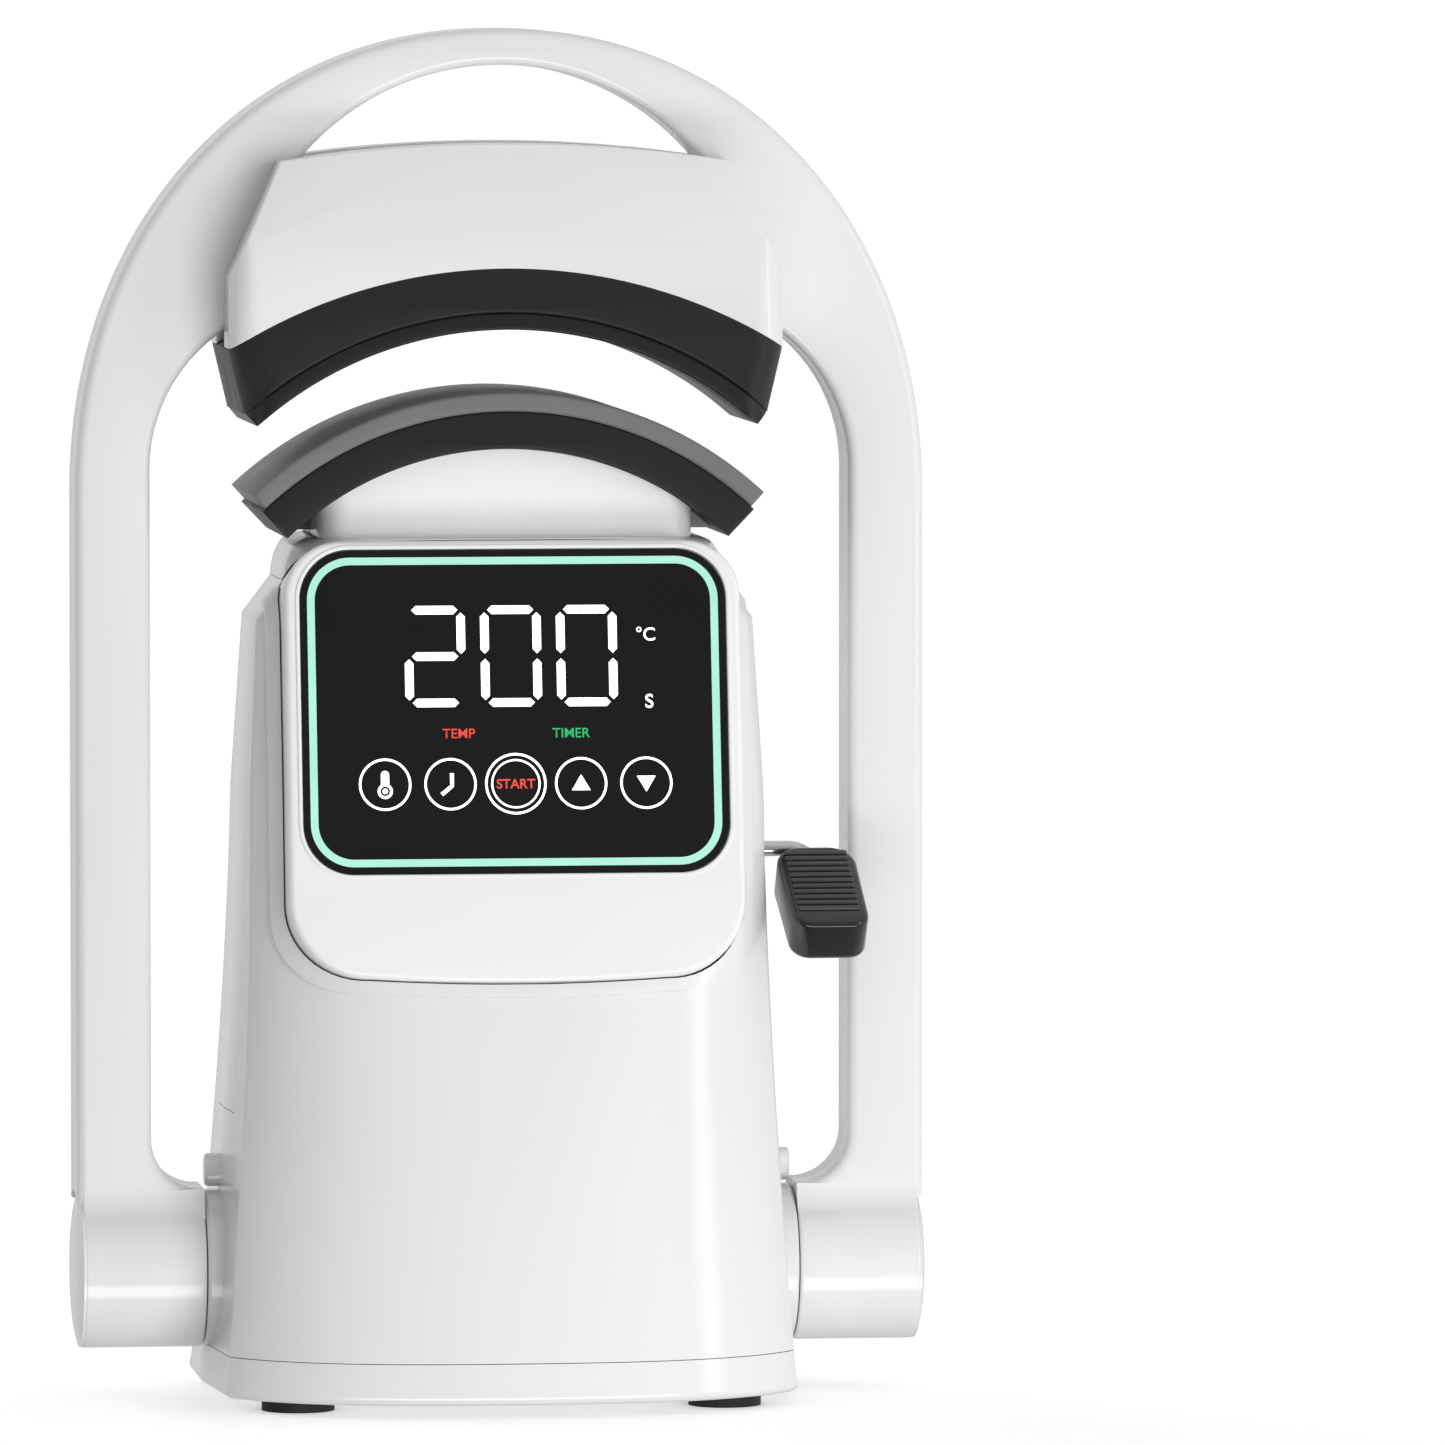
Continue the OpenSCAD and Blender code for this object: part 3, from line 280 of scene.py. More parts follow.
class Nodes:
    """Short calls for building the node tree of a material or of the world."""

    def __init__(self, owner):
        owner.use_nodes = True
        self.owner = owner
        self.tree = owner.node_tree
        self.shader = self.tree.nodes.get("Principled BSDF")
        self.place = self.add("ShaderNodeTexCoord").outputs

    @staticmethod
    def set(node, **inputs):
        for key, value in inputs.items():
            node.inputs[key.replace("_", " ")].default_value = value

    def add(self, kind, setting="", choice="", **inputs):
        """A new node, with one of its settings chosen and its inputs set."""
        node = self.tree.nodes.new(kind)
        if setting:
            setattr(node, setting, choice)
        self.set(node, **inputs)
        return node

    def link(self, output, socket):
        self.tree.links.new(output, socket)

    def finish(self, **inputs):
        self.set(self.shader, **inputs)
        return self.owner

    def feed(self, output, *sockets):
        for socket in sockets:
            self.link(output, self.shader.inputs[socket])

    def noise(self, scale, detail=3.0, stretch=(1, 1, 1)):
        mapping = self.add("ShaderNodeMapping", Scale=stretch)
        self.link(self.place["Object"], mapping.inputs["Vector"])
        noise = self.add("ShaderNodeTexNoise", Scale=scale, Detail=detail)
        self.link(mapping.outputs["Vector"], noise.inputs["Vector"])
        return noise.outputs["Fac"]

    def ramp(self, value, low, high, from_low=0.3, from_high=0.7):
        node = self.add("ShaderNodeMapRange", From_Min=from_low, From_Max=from_high, To_Min=low, To_Max=high)
        self.link(value, node.inputs["Value"])
        return node.outputs["Result"]

    def mix(self, factor, first, second):
        node = self.add("ShaderNodeMix", "data_type", "RGBA", A=(*first, 1), B=(*second, 1))
        self.link(factor, node.inputs["Factor"])
        return node.outputs["Result"]

    def tint(self, value, first, second, *sockets):
        """Base colour that goes from the first to the second colour as the value rises."""
        self.feed(self.mix(self.ramp(value, 0, 1), first, second), "Base Color", *sockets)

    def gloss(self, value, low, high):
        """Roughness that goes from low to high as the value rises."""
        self.feed(self.ramp(value, low, high), "Roughness")

    def bump(self, height, strength, distance):
        node = self.add("ShaderNodeBump", Strength=strength, Distance=distance)
        self.link(height, node.inputs["Height"])
        self.feed(node.outputs["Normal"], "Normal")


def material_nodes(name):
    return Nodes(bpy.data.materials.new(name))


def moulded_plastic(name, colour, roughness, coat=0.0, grain=0.05, spread=0.015):
    """Injection-moulded plastic: slight cloudiness, a fine grain and handling marks in the gloss."""
    nodes = material_nodes(name)
    darker = [max(0.0, c - spread) for c in colour]
    nodes.tint(nodes.noise(14, 2), darker, colour)
    nodes.gloss(nodes.noise(55, 5, (1, 1, 0.35)), roughness * 0.95, roughness * 1.05)
    nodes.bump(nodes.noise(900, 2), grain, 0.0002)
    return nodes.finish(Coat_Weight=coat, Coat_Roughness=0.14, Specular_IOR_Level=0.5)


def brushed_metal(name, colour, roughness, stretch=(1, 1, 12), wear=0.12):
    """Bare metal with fine streaks along one direction."""
    nodes = material_nodes(name)
    streak = nodes.noise(160, 3, stretch)
    darker = [c * (1 - wear) for c in colour]
    nodes.tint(streak, darker, colour)
    nodes.gloss(streak, roughness * 0.8, roughness * 1.25)
    nodes.bump(streak, 0.08, 0.0001)
    return nodes.finish(Metallic=1.0)


def coated_metal(name, colour, roughness, edge_colour):
    """A coating with a fine orange-peel bump, rubbed a little lighter along its edges."""
    nodes = material_nodes(name)
    pointiness = nodes.add("ShaderNodeNewGeometry").outputs["Pointiness"]
    patch = nodes.noise(60, 4)
    both = nodes.add("ShaderNodeMath", "operation", "MULTIPLY")
    nodes.link(nodes.ramp(pointiness, 0, 1, 0.52, 0.62), both.inputs[0])
    nodes.link(nodes.ramp(patch, 0.1, 0.9), both.inputs[1])
    nodes.feed(nodes.mix(both.outputs[0], colour, edge_colour), "Base Color")
    nodes.gloss(patch, roughness * 0.9, roughness * 1.15)
    nodes.bump(nodes.noise(700, 3), 0.12, 0.0002)
    return nodes.finish(Specular_IOR_Level=0.35)


def silicone(name, colour):
    """Matt rubber-like sheet with a soft sheen."""
    nodes = material_nodes(name)
    lighter = [c * 1.12 for c in colour]
    nodes.tint(nodes.noise(25, 4), colour, lighter)
    nodes.gloss(nodes.noise(90, 4), 0.5, 0.66)
    nodes.bump(nodes.noise(1200, 2), 0.1, 0.0002)
    return nodes.finish(Sheen_Weight=0.15, Sheen_Roughness=0.5)


def tinted_glass(name):
    """Black glass with faint smudges."""
    nodes = material_nodes(name)
    smudge = nodes.noise(18, 4)
    nodes.tint(smudge, (0.008, 0.008, 0.009), (0.010, 0.010, 0.011))
    nodes.gloss(smudge, 0.16, 0.22)
    return nodes.finish(Specular_IOR_Level=0.2)


def lit_plastic(name, colour, strength):
    """A light guide or a lit mark, with a little unevenness along it."""
    nodes = material_nodes(name)
    dimmer = [c * 0.94 for c in colour]
    nodes.tint(nodes.noise(40, 2), dimmer, colour, "Emission Color")
    return nodes.finish(Emission_Strength=strength, Roughness=0.35)


def make_materials():
    return {
        "white": moulded_plastic("white_gloss", (0.80, 0.80, 0.81), 0.22, coat=0.6, grain=0.015),
        "cover": moulded_plastic("white_satin", (0.77, 0.77, 0.78), 0.30, coat=0.3, grain=0.03),
        # A lighter copy of the white plastic for the fascia, the glass lip and the front neck cover: painted
        # light that stands in for more light falling on these front faces
        "panel": moulded_plastic("white_painted_front_light", (0.87, 0.87, 0.88), 0.26, coat=0.4, grain=0.015),
        # The ribs' lighter grey is partly their own matt grey and partly a painted highlight on their
        # up-facing tops
        "rib": moulded_plastic("rib_grey_painted_highlight", (0.060, 0.060, 0.061), 0.42, grain=0.1, spread=0.008),
        "side": moulded_plastic("grey_white", (0.66, 0.66, 0.67), 0.34, coat=0.1, grain=0.04),
        "black": moulded_plastic("black_plastic", (0.032, 0.032, 0.033), 0.38, grain=0.1, spread=0.006),
        "gloss_black": moulded_plastic("black_gloss", (0.012, 0.012, 0.012), 0.14, coat=0.5, grain=0.01,
                                       spread=0.004),
        "rubber": moulded_plastic("foot_rubber", (0.012, 0.012, 0.012), 0.7, grain=0.2, spread=0.004),
        "coated": coated_metal("black_coating", (0.014, 0.014, 0.015), 0.42, (0.05, 0.05, 0.05)),
        "heater": coated_metal("heater_coating", (0.013, 0.013, 0.014), 0.35, (0.05, 0.05, 0.05)),
        "silicone": silicone("silicone_pad", (0.165, 0.165, 0.167)),
        "zinc": coated_metal("grey_zinc", (0.33, 0.33, 0.34), 0.4, (0.5, 0.5, 0.5)),
        "steel": brushed_metal("bare_steel", (0.62, 0.62, 0.63), 0.3),
        "bright_steel": brushed_metal("bright_steel", (0.80, 0.80, 0.81), 0.16, (8, 1, 1), 0.05),
        "aluminium": brushed_metal("cast_aluminium", (0.72, 0.72, 0.73), 0.42, (2, 2, 2)),
        "bronze": brushed_metal("sintered_bronze", (0.62, 0.43, 0.20), 0.4, (3, 3, 3)),
        "glass": tinted_glass("display_glass"),
        "ring": lit_plastic("light_ring", (0.34, 0.66, 0.55), 0.42),
        "lit_white": lit_plastic("lit_white", (1.0, 1.0, 1.0), 1.4),
        "lit_red": lit_plastic("lit_red", (0.72, 0.07, 0.05), 0.35),
        "lit_green": lit_plastic("lit_green", (0.03, 0.40, 0.14), 0.4),
        "board": moulded_plastic("circuit_board", (0.03, 0.16, 0.07), 0.4, grain=0.1, spread=0.01),
        "film": moulded_plastic("polyimide_film", (0.45, 0.20, 0.04), 0.3, grain=0.05, spread=0.03),
        "felt": moulded_plastic("insulation_felt", (0.62, 0.58, 0.50), 0.95, grain=0.6, spread=0.05),
    }


# Mesh helpers

def smooth_by_angle(mesh, degrees):
    """Smooth shading, with edges sharper than this angle kept crisp."""
    limit = radians(degrees)
    bm = bmesh.new()
    bm.from_mesh(mesh)
    for face in bm.faces:
        face.smooth = True
    for edge in bm.edges:
        faces = edge.link_faces
        edge.smooth = len(faces) == 2 and faces[0].normal.angle(faces[1].normal, 0) < limit
    bm.to_mesh(mesh)
    bm.free()


def mesh_object(name, points, faces):
    """A mesh object from points in millimetres, with its faces turned outwards."""
    mesh = bpy.data.meshes.new(name)
    mesh.from_pydata([Vector(p) * MM for p in points], [], faces)
    bm = bmesh.new()
    bm.from_mesh(mesh)
    bmesh.ops.remove_doubles(bm, verts=bm.verts, dist=1e-7)
    bmesh.ops.recalc_face_normals(bm, faces=bm.faces)
    bm.to_mesh(mesh)
    bm.free()
    return place_object(name, mesh)


def finish_piece(item, material, body, replaces=(), angle=32):
    """Shading, material, body and the CAD nodes the piece stands for."""
    smooth_by_angle(item.data, angle)
    item.data.materials.clear()
    item.data.materials.append(material)
    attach(item, body)
    if replaces:
        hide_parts(*replaces)
    return item


def final_mesh(item):
    """The object's mesh as it is drawn, with its modifiers applied."""
    graph = bpy.context.evaluated_depsgraph_get()
    mesh = bpy.data.meshes.new_from_object(item.evaluated_get(graph))
    item.modifiers.clear()
    return mesh


def boolean(item, cutter, operation):
    """Applies one boolean to an object's mesh, and removes the other object."""
    modifier = item.modifiers.new("cut", "BOOLEAN")
    modifier.operation = operation
    modifier.solver = "MANIFOLD"
    modifier.object = cutter
    item.data = final_mesh(item)
    bpy.data.objects.remove(cutter)
    return item


def cut(item, *cutters):
    for cutter in cutters:
        boolean(item, cutter, "DIFFERENCE")
    return item


def keep(item, zone):
    return boolean(item, zone, "INTERSECT")


def join(item, *others):
    for other in others:
        boolean(item, other, "UNION")
    return item


def copy_of(item, name):
    """A new object with its own copy of the mesh."""
    return place_object(name, item.data.copy())


def box_object(name, low, high):
    points = [(x, y, z) for x in (low[0], high[0]) for y in (low[1], high[1]) for z in (low[2], high[2])]
    faces = [(0, 1, 3, 2), (4, 6, 7, 5), (0, 4, 5, 1), (2, 3, 7, 6), (0, 2, 6, 4), (1, 5, 7, 3)]
    return mesh_object(name, points, faces)


def arc(centre, radius, start, end, steps):
    """Points on a flat arc from one angle to another, in radians."""
    return [(centre[0] + radius * cos(start + (end - start) * i / steps),
             centre[1] + radius * sin(start + (end - start) * i / steps)) for i in range(steps + 1)]


def rounded_rect(half_w, low, high, radius, steps=10):
    """An upright rounded rectangle, counter-clockwise from its lower right corner."""
    places = [((half_w - radius, low + radius), -QUARTER), ((half_w - radius, high - radius), 0),
              ((radius - half_w, high - radius), QUARTER), ((radius - half_w, low + radius), 2 * QUARTER)]
    return [p for centre, start in places for p in arc(centre, radius, start, start + QUARTER, steps)]


def circle_loop(centre, radius, steps=64, turn=1):
    """A circle that runs counter-clockwise, or clockwise where turn is -1."""
    return arc(centre, radius, 0, turn * 2 * pi, steps)[:-1]


def tidy_loop(loop, least=0.02):
    """The loop without points that repeat."""
    kept = []
    for point in loop:
        if not kept or dist(point, kept[-1]) > least:
            kept.append(point)
    if dist(kept[0], kept[-1]) < least:
        kept.pop()
    return kept


def inset_loop(loop, distance):
    """The loop moved inwards, with the solid on its left side."""
    moved = []
    count = len(loop)
    for i, (x, z) in enumerate(loop):
        before, after = loop[i - 1], loop[(i + 1) % count]
        first = Vector((x - before[0], z - before[1])).normalized()
        second = Vector((after[0] - x, after[1] - z)).normalized()
        left = Vector((-first.y - second.y, first.x + second.x))
        if left.length < 1e-6:
            left = Vector((-first.y, first.x))
        left.normalize()
        stretch = max(0.5, left.dot(Vector((-first.y, first.x))))
        moved.append((x + left.x * distance / stretch, z + left.y * distance / stretch))
    return moved


def ring_faces(count, rings, first=0):
    """The faces between rings of points that follow each other, from point number first on."""
    starts = [first + k * count for k in range(rings - 1)]
    return [(low + i, low + (i + 1) % count, low + (i + 1) % count + count, low + i + count)
            for low in starts for i in range(count)]


def loft(name, rings):
    """A closed shape through rings of points, with flat ends."""
    count = len(rings[0])
    last = (len(rings) - 1) * count
    faces = ring_faces(count, len(rings))
    faces += [tuple(range(count)), tuple(range(last, last + count))]
    return mesh_object(name, [p for ring in rings for p in ring], faces)


def rounded_plate(name, loops, low, high, place, low_r=0, high_r=0, steps=5):
    """A plate with holes, filled from depth low to depth high, its outline rounded at both ends.

    Loops are flat outlines with the solid on their left, so the outer one runs counter-clockwise and holes
    run clockwise. place(a, b, depth) gives the point in the model."""
    levels = []
    for radius, depth, turn in ((low_r, low, 1), (high_r, high, -1)):
        turns = [QUARTER * k / steps for k in range(steps + 1)] if radius else [QUARTER]
        levels.append([(radius * (1 - sin(t)), depth + turn * radius * (1 - cos(t))) for t in turns])
    order = levels[0] + levels[1][::-1]
    points, faces, caps = [], [], ([], [])
    for loop in loops:
        count = len(loop)
        first = len(points)
        for inset, depth in order:
            points += [place(a, b, depth) for a, b in (inset_loop(loop, inset) if inset else loop)]
        faces += ring_faces(count, len(order), first)
        caps[0].append([first + i for i in range(count)])
        caps[1].append([first + (len(order) - 1) * count + i for i in range(count)])
    for side, cap in enumerate(caps):
        inset = order[-side][0]
        flat = [[Vector((*p, 0)) for p in (inset_loop(loop, inset) if inset else loop)] for loop in loops]
        index = [i for ids in cap for i in ids]
        faces += [tuple(index[i] for i in triangle) for triangle in geometry.tessellate_polygon(flat)]
    return mesh_object(name, points, faces)


def facing(a, b, depth):
    """A flat outline in x and z, with the depth along y."""
    return (a, depth, b)


def upright(a, b, depth):
    """A flat outline in x and y, with the depth along z."""
    return (a, b, depth)


def on_panel(a, b, depth):
    """A flat outline on the tilted front panel, with the depth measured outwards from its face."""
    return (a,
            -PANEL_Y - depth * cos(PANEL_TILT) + b * sin(PANEL_TILT),
            PANEL_Z + depth * sin(PANEL_TILT) + b * cos(PANEL_TILT))


def lathe_x(name, profile, centre_z, steps=96):
    """A closed shape turned about a line along x. The profile is (x, radius) from end to end."""
    turns = [2 * pi * i / steps for i in range(steps)]
    return loft(name, [[(x, radius * cos(t), centre_z + radius * sin(t)) for t in turns]
                       for x, radius in profile])


# Swing arch

# Name, direction along y, material and slot of shells that come in two halves
FRONT_AND_REAR = (("front", -1, "white", "white_shell"), ("rear", 1, "cover", "white_cover"))


def signed_power(value, power):
    """The power of a number, with the sign of the number."""
    return copysign(abs(value) ** power, value)


def arch_outer(steps=120):
    """The arch's outer line, from the right leg over the top to the left leg."""
    rise = ARCH_TOP - ARCH_SPRING
    turns = [pi * i / steps for i in range(steps + 1)]
    return [(ARCH_HALF * signed_power(cos(t), 2 / ARCH_POWER),
             ARCH_SPRING + rise * signed_power(sin(t), 2 / ARCH_POWER)) for t in turns]


def leg_foot():
    """Right half of the window's lower corner, from the barrel's inner end out to the leg."""
    corner = (LEG_IN - BARREL_FILLET, WINDOW_LOW_Z + BARREL_FILLET)
    return arc(corner, BARREL_FILLET, -QUARTER, 0, 14)


def arch_loops():
    """Outer line with the leg feet and the window in one loop, and the finger opening."""
    low_z = 50.0
    crown = arc((LEG_IN - CROWN_INNER_R, CROWN_INNER_Z), CROWN_INNER_R, 0, QUARTER, 20)
    inside_right = [(BARREL_IN, low_z), (BARREL_IN, WINDOW_LOW_Z)] + leg_foot()[1:] + crown
    outer = [(ARCH_HALF, low_z), *arch_outer(), (-ARCH_HALF, low_z)]
    left = [(-x, z) for x, z in inside_right]
    loop = outer + left + inside_right[::-1]
    opening_low = HEAD_TOP - 6
    top_half = acos((opening_low - GRIP_TOP + GRIP_R) / GRIP_R)
    opening = arc((0, GRIP_TOP - GRIP_R), GRIP_R, QUARTER + top_half, QUARTER - top_half, 40)
    return [tidy_loop(loop), tidy_loop(opening)]


def blend_strip(side, dir_y):
    """Concave blend between the leg's flat face and the barrel, which fades out at the cap."""
    top = PIVOT_Z + sqrt((BARREL_R + BLEND_R) ** 2 - (ARCH_DEPTH_HALF + BLEND_R) ** 2)
    lean = atan2(top - PIVOT_Z, ARCH_DEPTH_HALF + BLEND_R)
    curve = arc((ARCH_DEPTH_HALF + BLEND_R, top), BLEND_R, pi, pi + lean, 10)
    profile = curve + [(ARCH_DEPTH_HALF - 3, PIVOT_Z + 12), (ARCH_DEPTH_HALF - 3, top)]
    stations = [BARREL_IN, CAP_IN - 1.2, CAP_IN - 0.5, CAP_IN - 0.15, CAP_IN - 0.02]
    shrink = [0, 0, 0.15, 0.5, 1.1]
    return loft("blend", [[(side * x, dir_y * (depth - less), z - less * 0.3) for depth, z in profile]
                          for x, less in zip(stations, shrink)])


def make_barrel(side, dir_y):
    """Half of a pivot barrel, with rounded ends. The front half ends at the shells' seam."""
    core_r = 10.0
    profile = [(BARREL_IN, core_r), (BARREL_IN, BARREL_R - BARREL_EDGE_R)]
    turns = (pi / 8, pi / 4, 3 * pi / 8, QUARTER)
    for x, way, order in ((BARREL_IN, 1, turns), (CAP_IN, -1, turns[::-1])):
        profile += [(x + way * BARREL_EDGE_R * (1 - cos(t)),
                     BARREL_R - BARREL_EDGE_R * (1 - sin(t))) for t in order]
    profile += [(CAP_IN - BARREL_EDGE_R, BARREL_R - BARREL_EDGE_R), (CAP_IN - BARREL_EDGE_R, core_r)]
    barrel = lathe_x("barrel", [(side * x, r) for x, r in profile], PIVOT_Z)
    near, far = sorted((dir_y * SHELL_GAP, dir_y * 60))
    return keep(barrel, box_object("half", (-200, near, 0), (200, far, 120)))


def make_arch(materials):
    """Front and rear shells of the arch, with their barrels, and the caps on the barrels' ends."""
    loops = arch_loops()
    for name, dir_y, look, slot in FRONT_AND_REAR:
        low, high = sorted((dir_y * ARCH_DEPTH_HALF, dir_y * SHELL_GAP))
        radii = (ARCH_EDGE_R, 0) if dir_y < 0 else (0, ARCH_EDGE_R)
        shell = rounded_plate(f"arch_{name}", loops, low, high, facing, *radii)
        for side in (-1, 1):
            join(shell, make_barrel(side, dir_y), blend_strip(side, dir_y))
            ends = [(side * x, BARREL_R + 0.3) for x in (CAP_IN, ARCH_HALF + 5)]
            cut(shell, lathe_x("pocket", ends, PIVOT_Z))
        finish_piece(shell, materials[look], "arch", [f"arch_{name}_shell", f"arch_{name}_legs"], 28)
    for side, name in ((-1, "left"), (1, "right")):
        make_end_cap(materials, side, name)


def make_end_cap(materials, side, name):
    """Domed cap on a barrel's outer end."""
    rim = BARREL_R - 0.2
    edge = 0.3
    rise = CAP_OUT - CAP_IN - edge
    inner_end = CAP_IN - 0.6
    profile = [(inner_end, 6.0), (inner_end, rim)]
    for radius in [rim * (1 - (k / 16) ** 1.5) for k in range(16)]:
        profile.append((CAP_IN + edge + rise * (1 - (radius / rim) ** 4), radius))
    cap = lathe_x(f"end_cap_{name}", [(side * x, r) for x, r in profile], PIVOT_Z)
    finish_piece(cap, materials["white"], "arch", [f"pivot_cap_{name}"], 40)


# Head and heated platen

def head_loop():
    """Outline of the head's covers, down to the housing."""
    turn = asin(HEAD_TOP_HALF / HEAD_TOP_R)
    top = arc((0, HEAD_TOP - HEAD_TOP_R), HEAD_TOP_R, QUARTER - turn, QUARTER + turn, 24)
    turn = asin(HEAD_HALF / HOUSING_TOP_R)
    low = arc((0, HOUSING_TOP - HOUSING_TOP_R), HOUSING_TOP_R, QUARTER + turn, QUARTER - turn, 44)
    return tidy_loop([(HEAD_HALF, HEAD_SHOULDER_Z)] + top + [(-HEAD_HALF, HEAD_SHOULDER_Z)] + low)


def lean_cutter(dir_y):
    """What is cut off above the head's crease, which runs lower towards its ends."""
    reach, steps = 100.0, 40
    height, outside = 60.0, HEAD_DEPTH_HALF + 30
    back = HEAD_DEPTH_HALF - height * tan(HEAD_LEAN)
    rings = []
    for k in range(steps + 1):
        x = reach * (2 * k / steps - 1)
        low = HEAD_CREASE_Z - HEAD_CREASE_DROP * (x / HEAD_HALF) ** 2
        section = [(HEAD_DEPTH_HALF, low), (outside, low), (outside, low + height), (back, low + height)]
        rings.append([(x, dir_y * y, z) for y, z in section])
    return loft("lean", rings)


def plan_prism(half, depth_half, radius):
    """An upright rounded block that trims the head or its platen."""
    plan = rounded_rect(half, -depth_half, depth_half, radius, 12)
    return rounded_plate("plan", [plan], HOUSING_LOW_Z - 30, HEAD_TOP + 5, upright)


def make_head(materials):
    """Front and rear covers of the head, with a crease, sloping shoulders and rounded upright edges."""
    loop = head_loop()
    for name, dir_y, look, slot in FRONT_AND_REAR:
        low, high = sorted((dir_y * HEAD_DEPTH_HALF, dir_y * (ARCH_DEPTH_HALF + 0.1)))
        cover = rounded_plate(f"head_{name}", [loop], low, high, facing)
        cut(cover, lean_cutter(dir_y))
        keep(cover, plan_prism(HEAD_HALF, HEAD_DEPTH_HALF, HEAD_EDGE_R))
        soften(cover, 1.1, 3, 24)
        finish_piece(cover, materials[look], "arch", [f"head_{name}_cover"], 30)


def soften(item, width, segments, angle):
    """Rounds the edges sharper than an angle, once flat faces are merged."""
    modifier = item.modifiers.new("soften", "BEVEL")
    modifier.width = width * MM
    modifier.segments = segments
    modifier.limit_method = "ANGLE"
    modifier.angle_limit = radians(angle)
    modifier.use_clamp_overlap = True
    planar = bmesh.new()
    planar.from_mesh(item.data)
    bmesh.ops.dissolve_limit(planar, angle_limit=radians(1.0), verts=planar.verts, edges=planar.edges)
    planar.to_mesh(item.data)
    planar.free()
    item.data = final_mesh(item)


def housing_loop():
    """Outline of the black housing, between the head's covers and the heating plate."""
    turn = asin(HEAD_HALF / HOUSING_TOP_R)
    centre = (0, HOUSING_TOP - HOUSING_TOP_R)
    outer = arc(centre, HOUSING_TOP_R - 0.1, QUARTER - turn, QUARTER + turn, 44)
    hot_outer = HOT_R + HOT_T
    reach = asin((HOUSING_LOW_HALF - 0.2) / hot_outer)
    under = arc((0, HOT_CENTRE_Z), hot_outer + 0.1, QUARTER + reach, QUARTER - reach, 44)
    return tidy_loop([(HEAD_HALF, HOUSING_BEND_Z)] + outer + [(-HEAD_HALF, HOUSING_BEND_Z)]
                     + [(-HOUSING_LOW_HALF, HOUSING_LOW_Z)] + under + [(HOUSING_LOW_HALF, HOUSING_LOW_Z)])


def curved_plate_loop(centre_z, r_in, r_out, angle):
    """Outline of a curved plate that reaches this angle to each side of its middle."""
    outer = arc((0, centre_z), r_out, QUARTER - angle, QUARTER + angle, 56)
    inner = arc((0, centre_z), r_in, QUARTER + angle, QUARTER - angle, 56)
    return tidy_loop(outer + inner)


def make_heated_platen(materials):
    """Black housing and the curved heating plate under it."""
    depth = HEAD_DEPTH_HALF
    housing = rounded_plate("platen_housing_skin", [housing_loop()], -depth, depth, facing, 1.0, 1.0, 4)
    halves = ((HOUSING_LOW_Z - 5, HOUSING_LOW_HALF), (HOUSING_LOW_Z, HOUSING_LOW_HALF),
              (HOUSING_BEND_Z, HEAD_HALF), (HOUSING_TOP + 5, HEAD_HALF))
    ends = [[(x, y, z) for x, y in rounded_rect(half, -depth, depth, HOUSING_END_R, 12)]
            for z, half in halves]
    keep(housing, loft("ends", ends))
    finish_piece(housing, materials["coated"], "arch", ["platen_housing"], 30)
    outer = HOT_R + HOT_T
    plate = rounded_plate("heating_plate_skin", [curved_plate_loop(HOT_CENTRE_Z, HOT_R, outer, HOT_ANGLE)],
                          1 - depth, depth - 1, facing, 0.8, 0.8, 3)
    keep(plate, plan_prism(outer * sin(HOT_ANGLE), depth - 1, HOUSING_END_R - 2))
    finish_piece(plate, materials["heater"], "arch", ["heating_plate"], 30)


def upright_bar(name, x, radius, low, high):
    return rounded_plate(name, [circle_loop((x, 0), radius, 48)], low, high, upright)


def make_lower_platen(materials):
    """Silicone pad on a curved base, with two bosses that take the pegs."""
    seat_r = PAD_R - PAD_T
    base_r = seat_r - PLATEN_T
    depth = PAD_DEPTH_HALF
    pad = rounded_plate("silicone_pad", [curved_plate_loop(PLATEN_CENTRE_Z, seat_r, PAD_R, PAD_ANGLE)],
                        -depth, depth, facing, 1.4, 1.4, 4)
    finish_piece(pad, materials["silicone"], "platen", ["lower_pad"], 30)
    plate = curved_plate_loop(PLATEN_CENTRE_Z, base_r, seat_r, PLATEN_ANGLE)
    base = rounded_plate("platen_base_skin", [plate], 1 - depth, depth - 1, facing, 1.0, 1.0, 4)
    boss_top = PLATEN_CENTRE_Z + base_r + 2
    for x in (-PEG_X, PEG_X):
        join(base, upright_bar("boss", x, PEG_R + 4, MOUNT_TOP + 0.3, boss_top))
    for x in (-PEG_X, PEG_X):
        cut(base, upright_bar("bore", x, PEG_R + 0.06, MOUNT_TOP - 5, MOUNT_TOP + 13))
    finish_piece(base, materials["coated"], "platen", ["lower_platen_base"], 30)


# Body

def depth_down(z):
    """How far down a height is, from 0 at the body's top to 1 at its foot."""
    return (BODY_TOP - z) / (BODY_TOP - TRAY_Z)


def half_width(z):
    """Side outline: a flared foot, a slight taper, a chamfer and a round shoulder."""
    ear = WAIST_HALF - TOP_TAPER
    shoulder = ear - CHAMFER_W
    if z < WAIST_Z:
        return WAIST_HALF + (BASE_HALF - WAIST_HALF) * ((WAIST_Z - z) / WAIST_Z) ** 1.6
    if z < CHAMFER_Z:
        return WAIST_HALF - TOP_TAPER * (z - WAIST_Z) / (CHAMFER_Z - WAIST_Z)
    if z < SHOULDER_Z:
        return ear - CHAMFER_W * (z - CHAMFER_Z) / (SHOULDER_Z - CHAMFER_Z)
    rise = min(1.0, (z - SHOULDER_Z) / (BODY_TOP - SHOULDER_Z))
    return TOP_HALF + (shoulder - TOP_HALF) * sqrt(1 - rise ** 2)


def depth_at(z, base, bow):
    """Depth of the body in front of or behind its middle, which grows downwards in a bow."""
    down = depth_down(z)
    return TOP_FRONT + (base - TOP_FRONT) * (1 + bow - bow * down) * down


